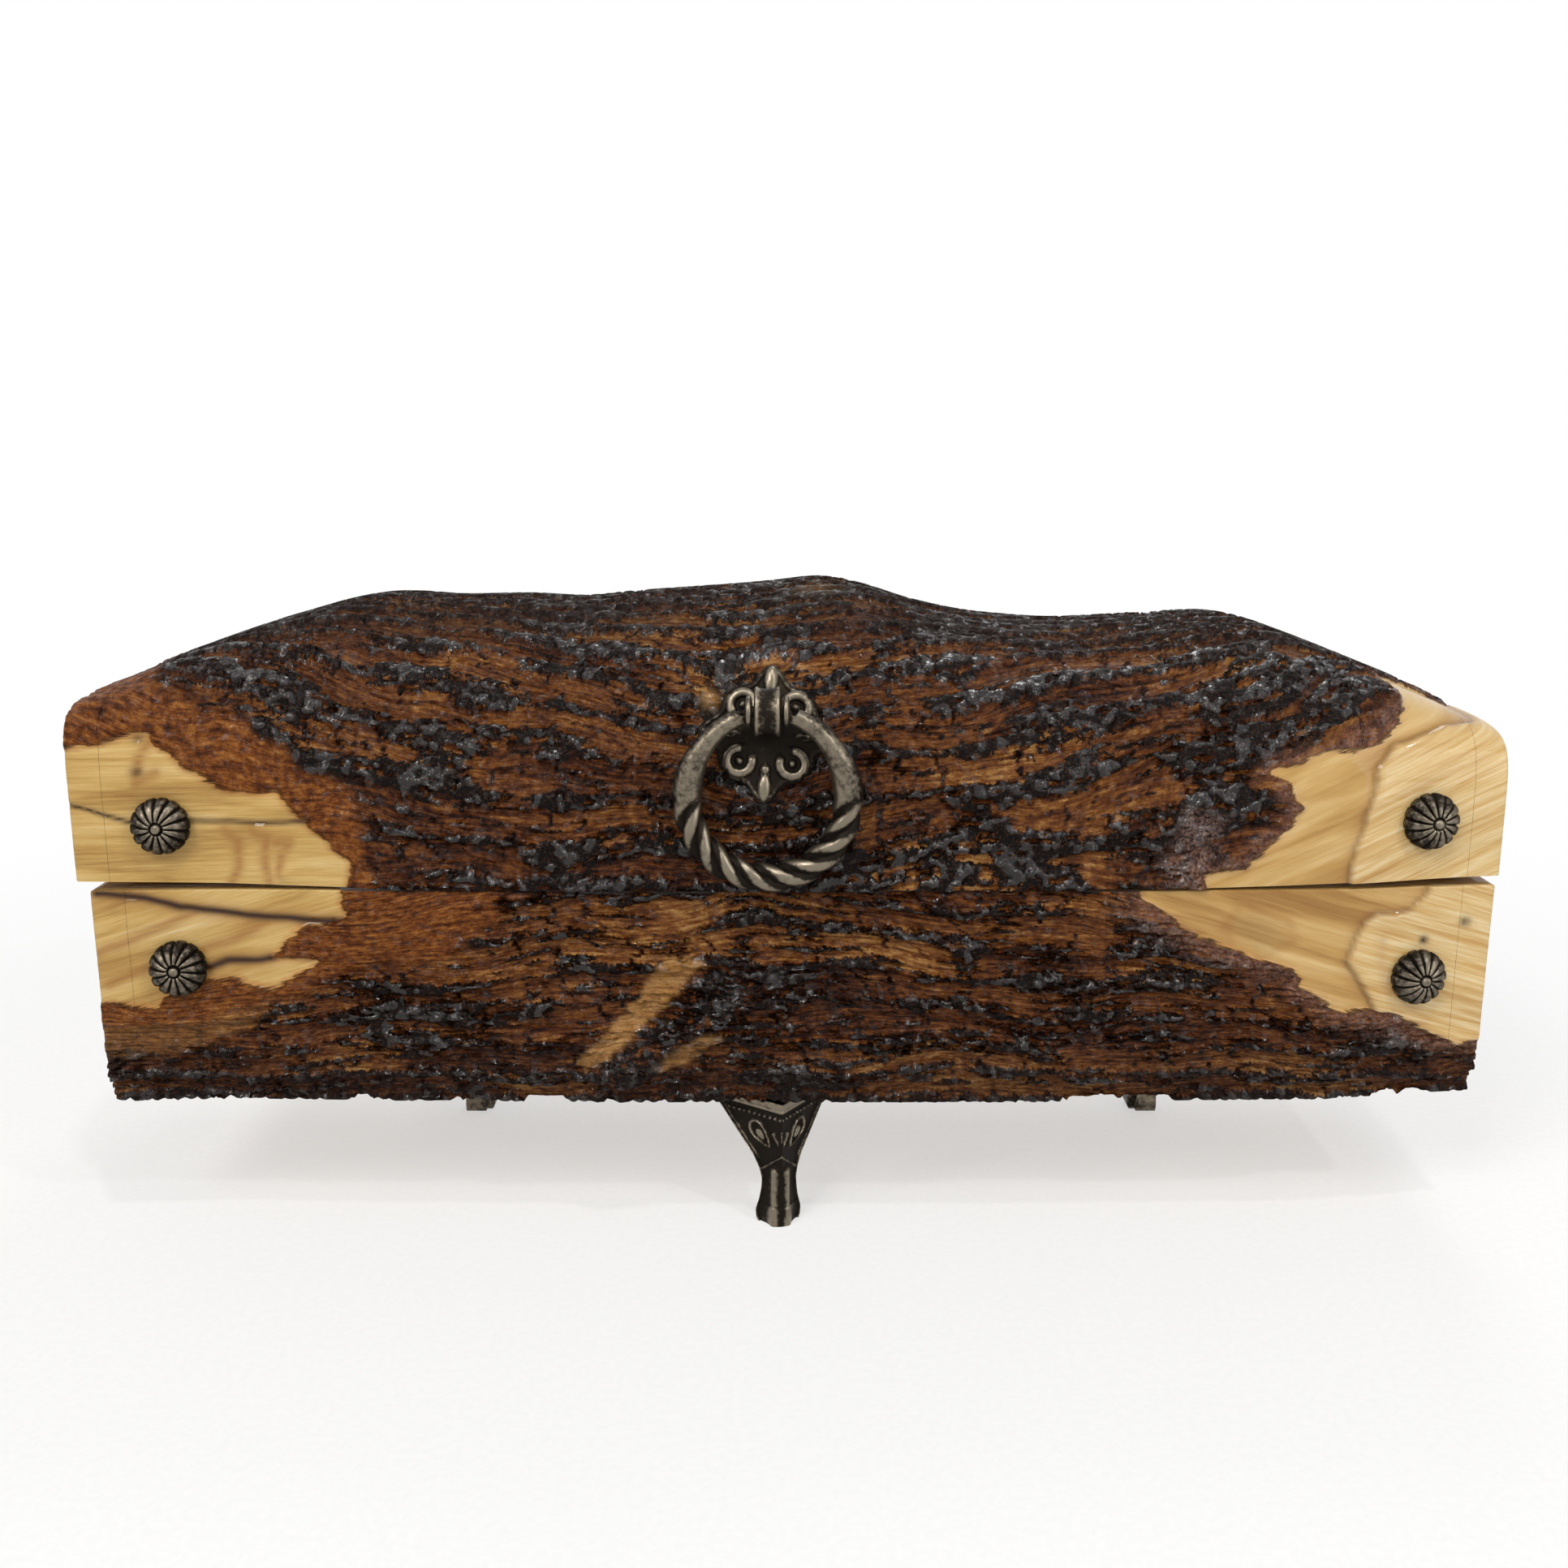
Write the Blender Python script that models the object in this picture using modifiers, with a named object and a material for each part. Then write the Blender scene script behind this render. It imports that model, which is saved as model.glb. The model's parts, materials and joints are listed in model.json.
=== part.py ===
"""Jewellery box sawn from a natural log: a hinged lid and a base, both hollowed, with their bark left on.

Metres, +Z up. X runs along the box, the front with the ring pull faces -Y, and the floor is Z = 0.
The origin is on the floor under the middle of the whole box.
"""

import math

import bmesh
import bpy
from mathutils import Matrix, Vector

# Driving sizes
lid_length = 0.2700
base_length = 0.2670
base_offset = 0.0009
body_depth = 0.0800
foot_height = 0.0266
base_height = 0.0436
lid_height = 0.0540
fit_gap = 0.0003
seam_gap = 0.0004
cut_overrun = 0.0040
merge_distance = 0.000001

# Log faces: the front bulges in the middle, comes forward at the left end and falls back at the right one
face_bulge = 0.0030
left_end_lift = 0.0022
right_end_fall = 0.0028
end_turn_length = 0.0340
under_roll = 0.0040
under_roll_height = 0.0130
back_crest_fall = 0.0028
crest_depth_share = 0.65
rim_lift = 0.0014
rim_level_share = 0.5
face_turn_share = 1 / 3
face_limit_share = 0.999
middle_square_share = 3.2
left_square_share = 6.0
right_square_share = 5.0

# Height of the lid's crest along its length: place from -1 to 1 and share of lid_height
crest_shares = (
    (-1.00, 0.670), (-0.91, 0.755), (-0.80, 0.845), (-0.67, 0.925), (-0.54, 0.920),
    (-0.43, 0.926), (-0.34, 0.918), (-0.25, 0.938), (-0.14, 0.958), (-0.04, 0.978),
    (0.05, 0.998), (0.12, 0.965), (0.19, 0.909), (0.27, 0.865), (0.35, 0.841),
    (0.43, 0.828), (0.54, 0.836), (0.66, 0.848), (0.72, 0.838), (0.79, 0.780),
    (0.86, 0.712), (0.93, 0.640), (1.00, 0.556),
)

# Bark: long ridges that meet in a shallow V over the pull, and smooth bare wood at the four front corners
ridge_height = 0.0013
ridge_pitch = 0.0076
ridge_wander = 0.0016
ridge_wander_length = 0.0530
ridge_wander_rise = 0.0086
small_wander = 0.0010
small_wander_length = 0.0290
small_wander_rise = 0.0065
lid_ridge_rise_share = 0.25
ridge_rise_height = 0.0500
base_ridge_fall_share = 0.14
bare_depth = 0.0300
bark_step = 0.0016
bare_blend = 0.0022
lid_left_bare = (0.0520, 0.0300)
lid_right_bare = (0.0575, 0.0360)
base_left_bare = (0.0490, 0.0240)
base_right_bare = (0.0690, 0.0330)
step_height = 0.0007
step_blend = 0.0020

# Outlines of the bare patches: shares of their length from the box's end and of their height from the seam
lid_left_bare_shares = (
    (0.0, 0.92), (0.24, 1.0), (0.31, 0.98), (0.35, 0.89), (0.41, 0.80), (0.47, 0.72), (0.56, 0.65),
    (0.67, 0.62), (0.74, 0.64), (0.79, 0.55), (0.83, 0.44), (0.88, 0.37), (0.95, 0.27), (1.0, 0.0),
)
lid_right_bare_shares = (
    (0.0, 1.2), (0.24, 1.2), (0.31, 0.97), (0.43, 0.78), (0.60, 0.70), (0.74, 0.62), (0.80, 0.42),
    (0.86, 0.14), (1.0, 0.0),
)
base_left_bare_shares = (
    (0.0, 0.95), (0.13, 0.99), (0.22, 0.99), (0.26, 0.88), (0.43, 0.74), (0.53, 0.74), (0.60, 0.81),
    (0.67, 0.82), (0.80, 0.70), (0.86, 0.52), (0.90, 0.30), (1.0, 0.0),
)
base_right_bare_shares = (
    (0.0, 0.99), (0.07, 0.98), (0.19, 0.84), (0.32, 0.74), (0.42, 0.74), (0.54, 0.59), (0.57, 0.47),
    (0.68, 0.42), (0.84, 0.27), (0.93, 0.06), (1.0, 0.0),
)
lid_right_step_shares = ((0.0, 1.2), (0.19, 0.86), (0.32, 0.79), (0.43, 0.64), (0.46, 0.42), (0.52, 0.0))
base_right_step_shares = ((0.0, -0.2), (0.19, 0.03), (0.28, 0.17), (0.37, 0.20), (0.40, 0.40), (0.41, 1.2))

# Branch stub, up from the base's underside, and the hollow crotch over the pull, up from the lid's rim
stub_top = (-0.0075, 0.0231)
stub_foot = (-0.0340, 0.0061)
stub_width = 0.0052
stub_height = 0.0030
crotch_place = (-0.0115, 0.0411)
crotch_width = 0.0060
crotch_depth = 0.0022

# Hollow
base_front_wall = 0.0130
base_back_wall = 0.0085
lid_front_wall = 0.0095
lid_back_wall = 0.0075
floor_thickness = 0.0110
roof_thickness = 0.0080
end_thickness = 0.0065
base_hollow_round = 0.0060
lid_hollow_round = 0.0110
lining_thickness = 0.0012
lining_rim_drop = 0.0020

# Ring pull
pull_x = -0.0046
pull_rise = 0.0293
pull_turn = 0.065
pull_tilt = 0.265
plate_radius = 0.0129
plate_waist_radius = 0.0092
plate_lobe = 0.0016
plate_edge = 0.0012
plate_crown = 0.0009
plate_rim_share = 0.6
plate_ring_shares = (0.22, 0.45, 0.70, 0.90, 1.0)
plate_boss_height = 0.0020
plate_boss_radius = 0.0032
seat_radius = 0.0165
seat_sink = 0.0007
seat_blend_share = 0.25
eye_radius = 0.0029
eye_half_height = 0.0043
eye_width = 0.0048
eye_rise = 0.0036
eye_neck = 0.0056
eye_bore_radius = 0.0013
ring_stand = 0.0079
ring_radius = 0.01475
ring_hang = 0.0163
ring_tube_radius = 0.00275
ring_end_radius = 0.0016
collar_radius = 0.0029
collar_width = 0.0010
collar_gap = 0.0005
collar_inner_share = 0.9
collar_outer_share = 0.85
ring_swell_share = 1.15
ring_pin_radius = 0.0010
ring_pin_inner = 0.0005
twist_depth_share = 0.16
twist_pitch = 0.0220
twist_strands = 3
twist_start_share = 0.9
twist_blend_share = 0.35
pull_screw_radius = 0.0011
pull_screw_head_radius = 0.0030
pull_screw_head = 0.0014
pull_screw_bite = 0.0016
pull_screw_depth = 0.0072
pull_screw_edge_share = 0.4
screw_top_share = 0.6
screw_crown_share = 0.85
screw_taper_share = 0.75

# Daisy tacks
tack_radius = 0.0054
tack_height = 0.0036
tack_rim = 0.0007
tack_boss_radius = 0.0010
tack_boss_height = 0.0005
tack_shank_radius = 0.0008
tack_shank_length = 0.0055
tack_hole_gap = 0.0003
tack_petals = 14
tack_flute_share = 0.07
tack_boss_top_share = 0.7
tack_boss_edge_share = 0.8
tack_boss_foot_share = 0.97
tack_dome_share = 0.94
tack_edge_share = 0.97
tack_taper_share = 0.8
tack_flute_start_share = 1.2
tack_flute_full_share = 0.5
tack_seat = 0.0004
tack_inset_lid_left = 0.0171
tack_rise_lid_left = 0.0127
tack_inset_lid_right = 0.0153
tack_rise_lid_right = 0.0131
tack_inset_base_left = 0.0157
tack_drop_base_left = 0.0153
tack_inset_base_right = 0.0145
tack_drop_base_right = 0.0176

# Cast corner feet: shares of height, arm and wall at each level, from the sole up
foot_arm = 0.0172
foot_wall = 0.0016
foot_plate_thickness = 0.0014
foot_corner_round = 0.0006
foot_rim = 0.0005
foot_waist_arm = 0.0049
foot_toe_arm = 0.0065
foot_sole_arm = 0.0058
foot_sole_wall_share = 0.78
foot_toe_shares = ((0.03, 0.98, 0.76), (0.10, 1.0, 0.74), (0.20, 0.86, 0.62))
foot_waist_shares = ((0.30, 1.03, 0.76), (0.38, 1.0, 0.74), (0.46, 1.12, 0.62))
foot_neck_shares = (0.56, 1.42, 1.5)
foot_flare_shares = ((0.72, 0.62, 1.15), (0.88, 0.84, 1.0), (0.96, 0.95, 1.0))
front_foot_x = -0.0020
front_foot_inset = 0.0010
front_foot_turn = 0.175
rear_left_foot_x = -0.0728
rear_right_foot_x = 0.0822
foot_spacing = 0.0548
toe_inset = 0.0042
foot_screw_spread = 0.0036
foot_screw_inset = 0.0094
foot_screw_radius = 0.0010
foot_screw_head_radius = 0.0019
foot_screw_head = 0.0011
foot_screw_length = 0.0068
foot_screw_edge_share = 0.3

# Back hinges
hinge_spread = 0.0760
hinge_width = 0.0200
leaf_height = 0.0115
leaf_thickness = 0.0010
knuckle_radius = 0.0017
knuckle_end_share = 0.27
knuckle_gap = 0.0003
hinge_pin_radius = 0.0007
hinge_pin_gap = 0.00025
hinge_pin_head = 0.0004
hinge_pin_head_radius = 0.0012
hinge_pin_crown_share = 0.7
hinge_screw_spread = 0.0060
hinge_screw_rise = 0.0072
hinge_screw_radius = 0.0008
hinge_screw_head_radius = 0.0016
hinge_screw_head = 0.0006
hinge_screw_length = 0.0055
hinge_screw_edge_share = 0.25
leaf_corner = 0.0012
leaf_corner_steps = 3

# Mesh fineness
stations = 35
hollow_stations = 17
end_stations = 3
base_rows = 22
lid_rows = 36
curve_rows = 288
crest_rows = 12
arc_steps = 4
round_steps = 10
ring_steps = 48
ring_sides = 10
plate_steps = 48
tack_steps = 28
dome_steps = 5
strap_steps = 10
sharp_angle = 0.6

# Heights and lengths that follow from the sizes
floor_z = foot_height + fit_gap
seam_z = floor_z + base_height
lid_z = seam_z + seam_gap
half_lid = lid_length / 2
half_base = base_length / 2
pull_z = lid_z + pull_rise


def smooth(value):
    value = min(1.0, max(0.0, value))
    return value * value * (3 - 2 * value)


def along_table(table, place):
    """Catmull-Rom reading of a table of places and shares."""
    place = min(table[-1][0], max(table[0][0], place))
    for k in range(len(table) - 1):
        if place <= table[k + 1][0]:
            break
    near = [table[min(len(table) - 1, max(0, j))] for j in (k - 1, k, k + 1, k + 2)]
    (x1, v1), (x2, v2) = near[1], near[2]
    t = (place - x1) / (x2 - x1)
    m1 = (v2 - near[0][1]) / max(x2 - near[0][0], x2 - x1) * (x2 - x1)
    m2 = (near[3][1] - v1) / max(near[3][0] - x1, x2 - x1) * (x2 - x1)
    return (
        (2 * t ** 3 - 3 * t ** 2 + 1) * v1
        + (t ** 3 - 2 * t ** 2 + t) * m1
        + (3 * t ** 2 - 2 * t ** 3) * v2
        + (t ** 3 - t ** 2) * m2
    )


def crest_z(x):
    return lid_z + lid_height * along_table(crest_shares, x / half_lid)


def rim_z(x):
    """The lid's sawn rim lifts a little towards both ends."""
    return lid_z + rim_lift * smooth((abs(x) / half_lid - rim_level_share) / (1 - rim_level_share))


def squareness(x):
    across = x / half_lid
    return (
        middle_square_share
        + left_square_share * max(0.0, -across) ** 8
        + right_square_share * max(0.0, across) ** 8
    )


def face_setback(x):
    """How far the log's face lies behind the front plane at the seam, before its bark relief."""
    across = x / half_lid
    left = smooth((-x - half_lid + end_turn_length) / end_turn_length)
    right = smooth((x - half_lid + end_turn_length) / end_turn_length)
    return right_end_fall * right - left_end_lift * left - face_bulge * (1 - across ** 2)


def front_setback(x, z):
    """How far the front surface lies behind the front plane at a height, before its bark relief."""
    if z <= lid_z:
        roll = max(0.0, floor_z + under_roll_height - z) / under_roll_height
        return face_setback(x) + under_roll * roll ** 2
    rise = min(1.0, (z - lid_z) / (crest_z(x) - lid_z))
    n = squareness(x)
    crest = body_depth * crest_depth_share
    return crest - (crest - face_setback(x)) * (1 - rise ** n) ** (1 / n)


# The seat of the pull leans back with the lid's face: places in it are given out of it and up along it
lean_out = Vector((0, -math.cos(pull_tilt), math.sin(pull_tilt)))
lean_up = Vector((0, math.sin(pull_tilt), math.cos(pull_tilt)))
seat_setback = front_setback(pull_x, pull_z) + seat_sink
pull_reach = -seat_setback - lean_up.y * eye_rise - lean_out.y * ring_stand + eye_radius
hinge_reach = fit_gap + 2 * knuckle_radius
overall_depth = body_depth + pull_reach + hinge_reach
front_y = pull_reach - overall_depth / 2
back_y = front_y + body_depth
crest_y = front_y + body_depth * crest_depth_share
hinge_y = back_y + fit_gap + knuckle_radius
hinge_z = seam_z + seam_gap / 2
seat = Vector((pull_x, front_y + seat_setback, pull_z))
ring_axis = seat + lean_out * ring_stand + lean_up * eye_rise


def on_pull(x, out, up):
    """A place by its distance along X from the pull's middle, out of its seat and up along it."""
    return seat + Vector((x, 0, 0)) + lean_out * out + lean_up * up


def face_y(x):
    return front_y + face_setback(x)


def front_at(x, z):
    return front_y + front_setback(x, z)


def bareness(x, z):
    """1 on the bare wood of the four front corners and 0 on bark."""
    in_lid = z > seam_z
    half, middle = (half_lid, 0) if in_lid else (half_base, base_offset)
    if x > 0:
        size = lid_right_bare if in_lid else base_right_bare
        shares = lid_right_bare_shares if in_lid else base_right_bare_shares
    else:
        size = lid_left_bare if in_lid else base_left_bare
        shares = lid_left_bare_shares if in_lid else base_left_bare_shares
    from_end = half - abs(x - middle)
    limit = size[1] * along_table(shares, from_end / size[0])
    inside = min(limit - abs(z - seam_z), size[0] - from_end)
    return smooth(inside / bare_blend + 0.5)


def carved_plate(x, z):
    """1 on the raised plates that the carving left at the two right corners."""
    if x < 0:
        return 0.0
    if z > seam_z:
        from_end = half_lid - x
        limit = lid_right_bare[1] * along_table(lid_right_step_shares, from_end / lid_right_bare[0])
        return smooth((limit - z + seam_z) / step_blend + 0.5)
    from_end = half_base + base_offset - x
    limit = base_right_bare[1] * along_table(base_right_step_shares, from_end / base_right_bare[0])
    return smooth((seam_z - z - limit) / step_blend + 0.5)


def grain_height(x, along, in_lid):
    """Place across the bark's ridges, which rise to both ends of the lid and fall to both ends of the base."""
    away = math.hypot(x - crotch_place[0], crotch_width) - crotch_width
    wander = ridge_wander * math.sin(2 * math.pi * x / ridge_wander_length + along / ridge_wander_rise)
    wander += small_wander * math.sin(2 * math.pi * x / small_wander_length - along / small_wander_rise)
    if in_lid:
        return along - lid_ridge_rise_share * away * min(1.0, along / ridge_rise_height) + wander
    return along + base_ridge_fall_share * away * min(1.0, along / base_height) + wander


def relief(x, z, along, bare):
    """How far the bark stands out of the log's face, from its place along the section and its bareness."""
    wave = math.cos(2 * math.pi * grain_height(x, along, z > seam_z) / ridge_pitch)
    height = ridge_height * (wave - 1) / 2
    ax, az = stub_top[0], floor_z + stub_top[1]
    bx, bz = stub_foot[0], floor_z + stub_foot[1]
    t = ((x - ax) * (bx - ax) + (z - az) * (bz - az)) / ((bx - ax) ** 2 + (bz - az) ** 2)
    t = min(1.0, max(0.0, t))
    off = math.hypot(x - ax - t * (bx - ax), z - az - t * (bz - az))
    height += stub_height * math.exp(-((off / stub_width) ** 2))
    hollow = math.hypot(x - crotch_place[0], z - lid_z - crotch_place[1]) / crotch_width
    height -= crotch_depth * math.exp(-hollow ** 2)
    carved = step_height * carved_plate(x, z) - bark_step
    return height * (1 - bare) + carved * bare


def surface_y(x, z, along=None):
    """The finished front surface: relief added, and brought to the leaning seat under the pull."""
    if along is None:
        along = z - (lid_z if z > seam_z else floor_z)
    y = front_at(x, z) - relief(x, z, along, bareness(x, z))
    away = math.hypot(x - pull_x, z - pull_z) / seat_radius
    if away < 1:
        plane = seat.y + (z - seat.z) * math.tan(pull_tilt)
        y = plane + (y - plane) * smooth((away - 1 + seat_blend_share) / seat_blend_share)
    return y


def surface_normal(x, z, step):
    slope_x = (surface_y(x + step, z) - surface_y(x - step, z)) / (2 * step)
    slope_z = (surface_y(x, z + step) - surface_y(x, z - step)) / (2 * step)
    return Vector((slope_x, -1, slope_z)).normalized()


def even(points, count):
    """The same open line through count evenly spaced points."""
    lengths = [0.0]
    for a, b in zip(points, points[1:]):
        lengths.append(lengths[-1] + math.dist(a, b))
    spaced, k = [], 0
    for i in range(count):
        want = lengths[-1] * i / (count - 1)
        while k < len(points) - 2 and lengths[k + 1] < want:
            k += 1
        t = (want - lengths[k]) / (lengths[k + 1] - lengths[k])
        spaced.append(tuple(p + (q - p) * t for p, q in zip(points[k], points[k + 1])))
    return spaced


def base_section(x):
    """Closed outline in Y and Z: up the front from the underside, along the rim, down the back."""
    rows = [floor_z + base_height * k / (base_rows - 1) for k in range(base_rows)]
    return [(surface_y(x, z), z) for z in rows] + [(back_y, seam_z), (back_y, floor_z)]


def lid_section(x):
    """Closed outline in Y and Z: up the front, over the crest, down the back and along the rim."""
    crest, n, face = crest_z(x), squareness(x), face_y(x)
    curve = []
    for k in range(curve_rows):
        turn = math.pi / 2 * k / (curve_rows - 1)
        y = crest_y - (crest_y - face) * math.cos(turn) ** (2 / n)
        z = lid_z + (crest - lid_z) * math.sin(turn) ** (2 / n)
        curve.append((y, max(rim_z(x), z)))
    line = even(curve, lid_rows)
    fall = back_crest_fall * (1 - (x / half_lid) ** 2)
    for k in range(1, crest_rows + 1):
        t = k / crest_rows
        line.append((crest_y + (back_y - crest_y) * t, crest - fall * t ** 2))
    points, along = [], 0.0
    for k, (y, z) in enumerate(line):
        along += math.dist(line[max(0, k - 1)], (y, z))
        upright = smooth(((crest_y - y) / (crest_y - face) - face_turn_share) / face_turn_share)
        bare = bareness(x, z) if y < front_y + bare_depth else 0.0
        depth = 0.0 if k == len(line) - 1 else relief(x, z, along, bare)
        seated = surface_y(x, z, along) - front_at(x, z) if upright > face_limit_share else -depth * upright
        points.append((y + seated, z + depth * (1 - upright)))
    return points + [(back_y, rim_z(x))]


def base_hollow_section(x):
    """The trough sawn through the base, as an open outline from the front rim to the back rim."""
    front, back = front_y + base_front_wall, back_y - base_back_wall
    return trough(front, back, floor_z + floor_thickness, seam_z, base_hollow_round)


def lid_hollow_section(x):
    roof = crest_z(x) - roof_thickness
    return trough(front_y + lid_front_wall, back_y - lid_back_wall, roof, rim_z(x), lid_hollow_round)


def trough(front, back, bottom, rim, corner):
    """U-shaped line: down the front wall, round both corners, and up the back wall."""
    way = 1 if rim > bottom else -1
    line = [(front, rim)]
    for k in range(arc_steps + 1):
        turn = math.pi / 2 * k / arc_steps
        line.append((front + corner * (1 - math.cos(turn)), bottom + way * corner * (1 - math.sin(turn))))
    for k in range(arc_steps + 1):
        turn = math.pi / 2 * k / arc_steps
        line.append((back - corner * (1 - math.sin(turn)), bottom + way * corner * (1 - math.cos(turn))))
    return line + [(back, rim)]


def inset_line(line, distance):
    """The line moved sideways by a distance, into the hollow."""
    moved = []
    for k, (y, z) in enumerate(line):
        before, after = line[max(0, k - 1)], line[min(len(line) - 1, k + 1)]
        dy, dz = after[0] - before[0], after[1] - before[1]
        size = math.hypot(dy, dz)
        way = 1 if line[0][1] > line[len(line) // 2][1] else -1
        moved.append((y - way * dz / size * distance, z + way * dy / size * distance))
    return moved


# Collections and materials
def new_collection(name):
    made = bpy.data.collections.new(name)
    bpy.context.scene.collection.children.link(made)
    return made


def material(name, colour, roughness, metallic):
    made = bpy.data.materials.new(name)
    made.use_nodes = True
    shader = made.node_tree.nodes["Principled BSDF"]
    shader.inputs["Base Color"].default_value = (*colour, 1)
    shader.inputs["Roughness"].default_value = roughness
    shader.inputs["Metallic"].default_value = metallic
    made.diffuse_color = (*colour, 1)
    return made


def clear_scene():
    for obj in list(bpy.data.objects):
        bpy.data.objects.remove(obj, do_unlink=True)


clear_scene()
parts = new_collection("log_jewellery_box")
cutters = new_collection("cutters")
bark = material("varnished_bark", (0.14, 0.06, 0.025), 0.35, 0.0)
pale_wood = material("pale_log_wood", (0.64, 0.47, 0.24), 0.45, 0.0)
felt = material("brown_felt", (0.10, 0.035, 0.022), 0.95, 0.0)
bronze = material("antique_bronze", (0.16, 0.13, 0.09), 0.38, 1.0)
dark_bronze = material("dark_bronze", (0.09, 0.08, 0.065), 0.42, 1.0)


def add_object(name, mesh, coat, collection=None):
    obj = bpy.data.objects.new(name, mesh)
    (collection or parts).objects.link(obj)
    if coat:
        obj.data.materials.append(coat)
    return obj


def mesh_from(bm, name):
    bmesh.ops.recalc_face_normals(bm, faces=bm.faces)
    mesh = bpy.data.meshes.new(name)
    bm.to_mesh(mesh)
    bm.free()
    return mesh


def skin(rings, name, closed_ends=True):
    """A mesh through rings of points, each ring a closed loop, with flat ends."""
    bm = bmesh.new()
    loops = [[bm.verts.new(p) for p in ring] for ring in rings]
    count = len(loops[0])
    for first, second in zip(loops, loops[1:]):
        for k in range(count):
            j = (k + 1) % count
            bm.faces.new((first[k], first[j], second[j], second[k]))
    if closed_ends:
        bm.faces.new(loops[0])
        bm.faces.new(list(reversed(loops[-1])))
    return mesh_from(bm, name)


def spread(x_from, x_to, count):
    return [x_from + (x_to - x_from) * k / (count - 1) for k in range(count)]


def loft_x(name, section, places, coat):
    """A loft of the section through places along the box."""
    rings = [[(x, y, z) for y, z in section(x)] for x in places]
    return add_object(name, skin(rings, name), coat)


def cutter(obj):
    obj.hide_render = True
    obj.display_type = "WIRE"
    for holder in list(obj.users_collection):
        holder.objects.unlink(obj)
    cutters.objects.link(obj)
    return obj


def boolean(obj, other, operation):
    change = obj.modifiers.new(operation.lower() + "_" + other.name, "BOOLEAN")
    change.operation = operation
    change.object = other
    change.solver = "EXACT"
    return change


def rod(name, radius, start, end, steps=round_steps, coat=None):
    """A cylinder between two points."""
    start, end = Vector(start), Vector(end)
    bm = bmesh.new()
    turn = (end - start).to_track_quat("Z", "Y").to_matrix().to_4x4()
    place = Matrix.Translation((start + end) / 2) @ turn
    bmesh.ops.create_cone(
        bm, cap_ends=True, segments=steps, radius1=radius, radius2=radius, depth=(end - start).length, matrix=place
    )
    return add_object(name, mesh_from(bm, name), coat)


def block(name, low, high, coat=None):
    """A box between two corners."""
    low, high = Vector(low), Vector(high)
    size = high - low
    bm = bmesh.new()
    place = Matrix.Translation((low + high) / 2) @ Matrix.Diagonal((*size, 1))
    bmesh.ops.create_cube(bm, size=1, matrix=place)
    return add_object(name, mesh_from(bm, name), coat)


def turned(name, profile, place, steps, coat):
    """A solid of revolution: a profile of radius and height from its top to its bottom, turned with a Screw."""
    mesh = bpy.data.meshes.new(name)
    points = [(radius, 0, height) for radius, height in profile]
    mesh.from_pydata(points, [(k, k + 1) for k in range(len(points) - 1)], [])
    obj = add_object(name, mesh, coat)
    screw = obj.modifiers.new("turn", "SCREW")
    screw.steps = steps
    screw.render_steps = steps
    screw.use_merge_vertices = True
    screw.merge_threshold = merge_distance
    obj.matrix_world = place
    return obj


def axis_place(point, direction):
    """A matrix that puts local +Z along a direction at a point."""
    turn = Vector(direction).to_track_quat("Z", "Y").to_matrix().to_4x4()
    return Matrix.Translation(Vector(point)) @ turn


def shade_round(obj, angle=sharp_angle):
    obj.data.shade_smooth()
    obj.data.set_sharp_from_angle(angle=angle)


def put_under(obj, parent, origin):
    """Gives an unmoved mesh object its origin at a point, under a parent empty."""
    origin = Vector(origin)
    if obj.matrix_world == Matrix.Identity(4):
        obj.data.transform(Matrix.Translation(-origin))
        obj.matrix_world = Matrix.Translation(origin)
    world = obj.matrix_world.copy()
    obj.parent = parent
    obj.matrix_parent_inverse = parent.matrix_world.inverted()
    obj.matrix_world = world


def empty(name, place, parent=None):
    obj = bpy.data.objects.new(name, None)
    parts.objects.link(obj)
    obj.location = place
    bpy.context.view_layer.update()
    if parent:
        obj.parent = parent
        obj.matrix_parent_inverse = parent.matrix_world.inverted()
        bpy.context.view_layer.update()
    return obj


hinge_axis = (0, hinge_y, hinge_z)
lid_pivot = empty("lid_pivot", hinge_axis)
ring_pivot = empty("ring_pivot", ring_axis, lid_pivot)


# Base and lid, sawn from the log, with their end slices glued back on
def log_body(name, section, middle, length):
    inner = length / 2 - end_thickness - fit_gap
    return loft_x(name, section, spread(middle - inner, middle + inner, stations), bark)


def end_slice(name, section, middle, length, side):
    outer = middle + side * length / 2
    inner = outer - side * end_thickness
    return loft_x(name, section, spread(outer, inner, end_stations), pale_wood)


def hollow_cutter(name, section, middle, length, rim_way):
    """The closed solid of a trough, carried past the rim and both ends."""
    half = length / 2 + cut_overrun
    places = [middle - half] + hollow_places(middle, length) + [middle + half]

    def closed(x):
        line = section(x)
        first, last = line[0], line[-1]
        past = rim_way * cut_overrun
        return [(first[0], first[1] + past)] + line + [(last[0], last[1] + past)]

    return cutter(loft_x(name, closed, places, None))


def lining(name, section, middle, length, rim_way):
    """Felt glued inside a trough, short of the rim."""
    def closed(x):
        line = section(x)
        drop = rim_way * lining_rim_drop
        line = [(line[0][0], line[0][1] - drop)] + line[1:-1] + [(line[-1][0], line[-1][1] - drop)]
        outer = inset_line(line, fit_gap)
        inner = inset_line(line, fit_gap + lining_thickness)
        return outer + list(reversed(inner))

    return loft_x(name, closed, hollow_places(middle, length), felt)


def hollow_places(middle, length):
    """Stations shared by a trough and its lining."""
    inner = length / 2 - end_thickness - fit_gap
    return spread(middle - inner, middle + inner, hollow_stations)


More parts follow.
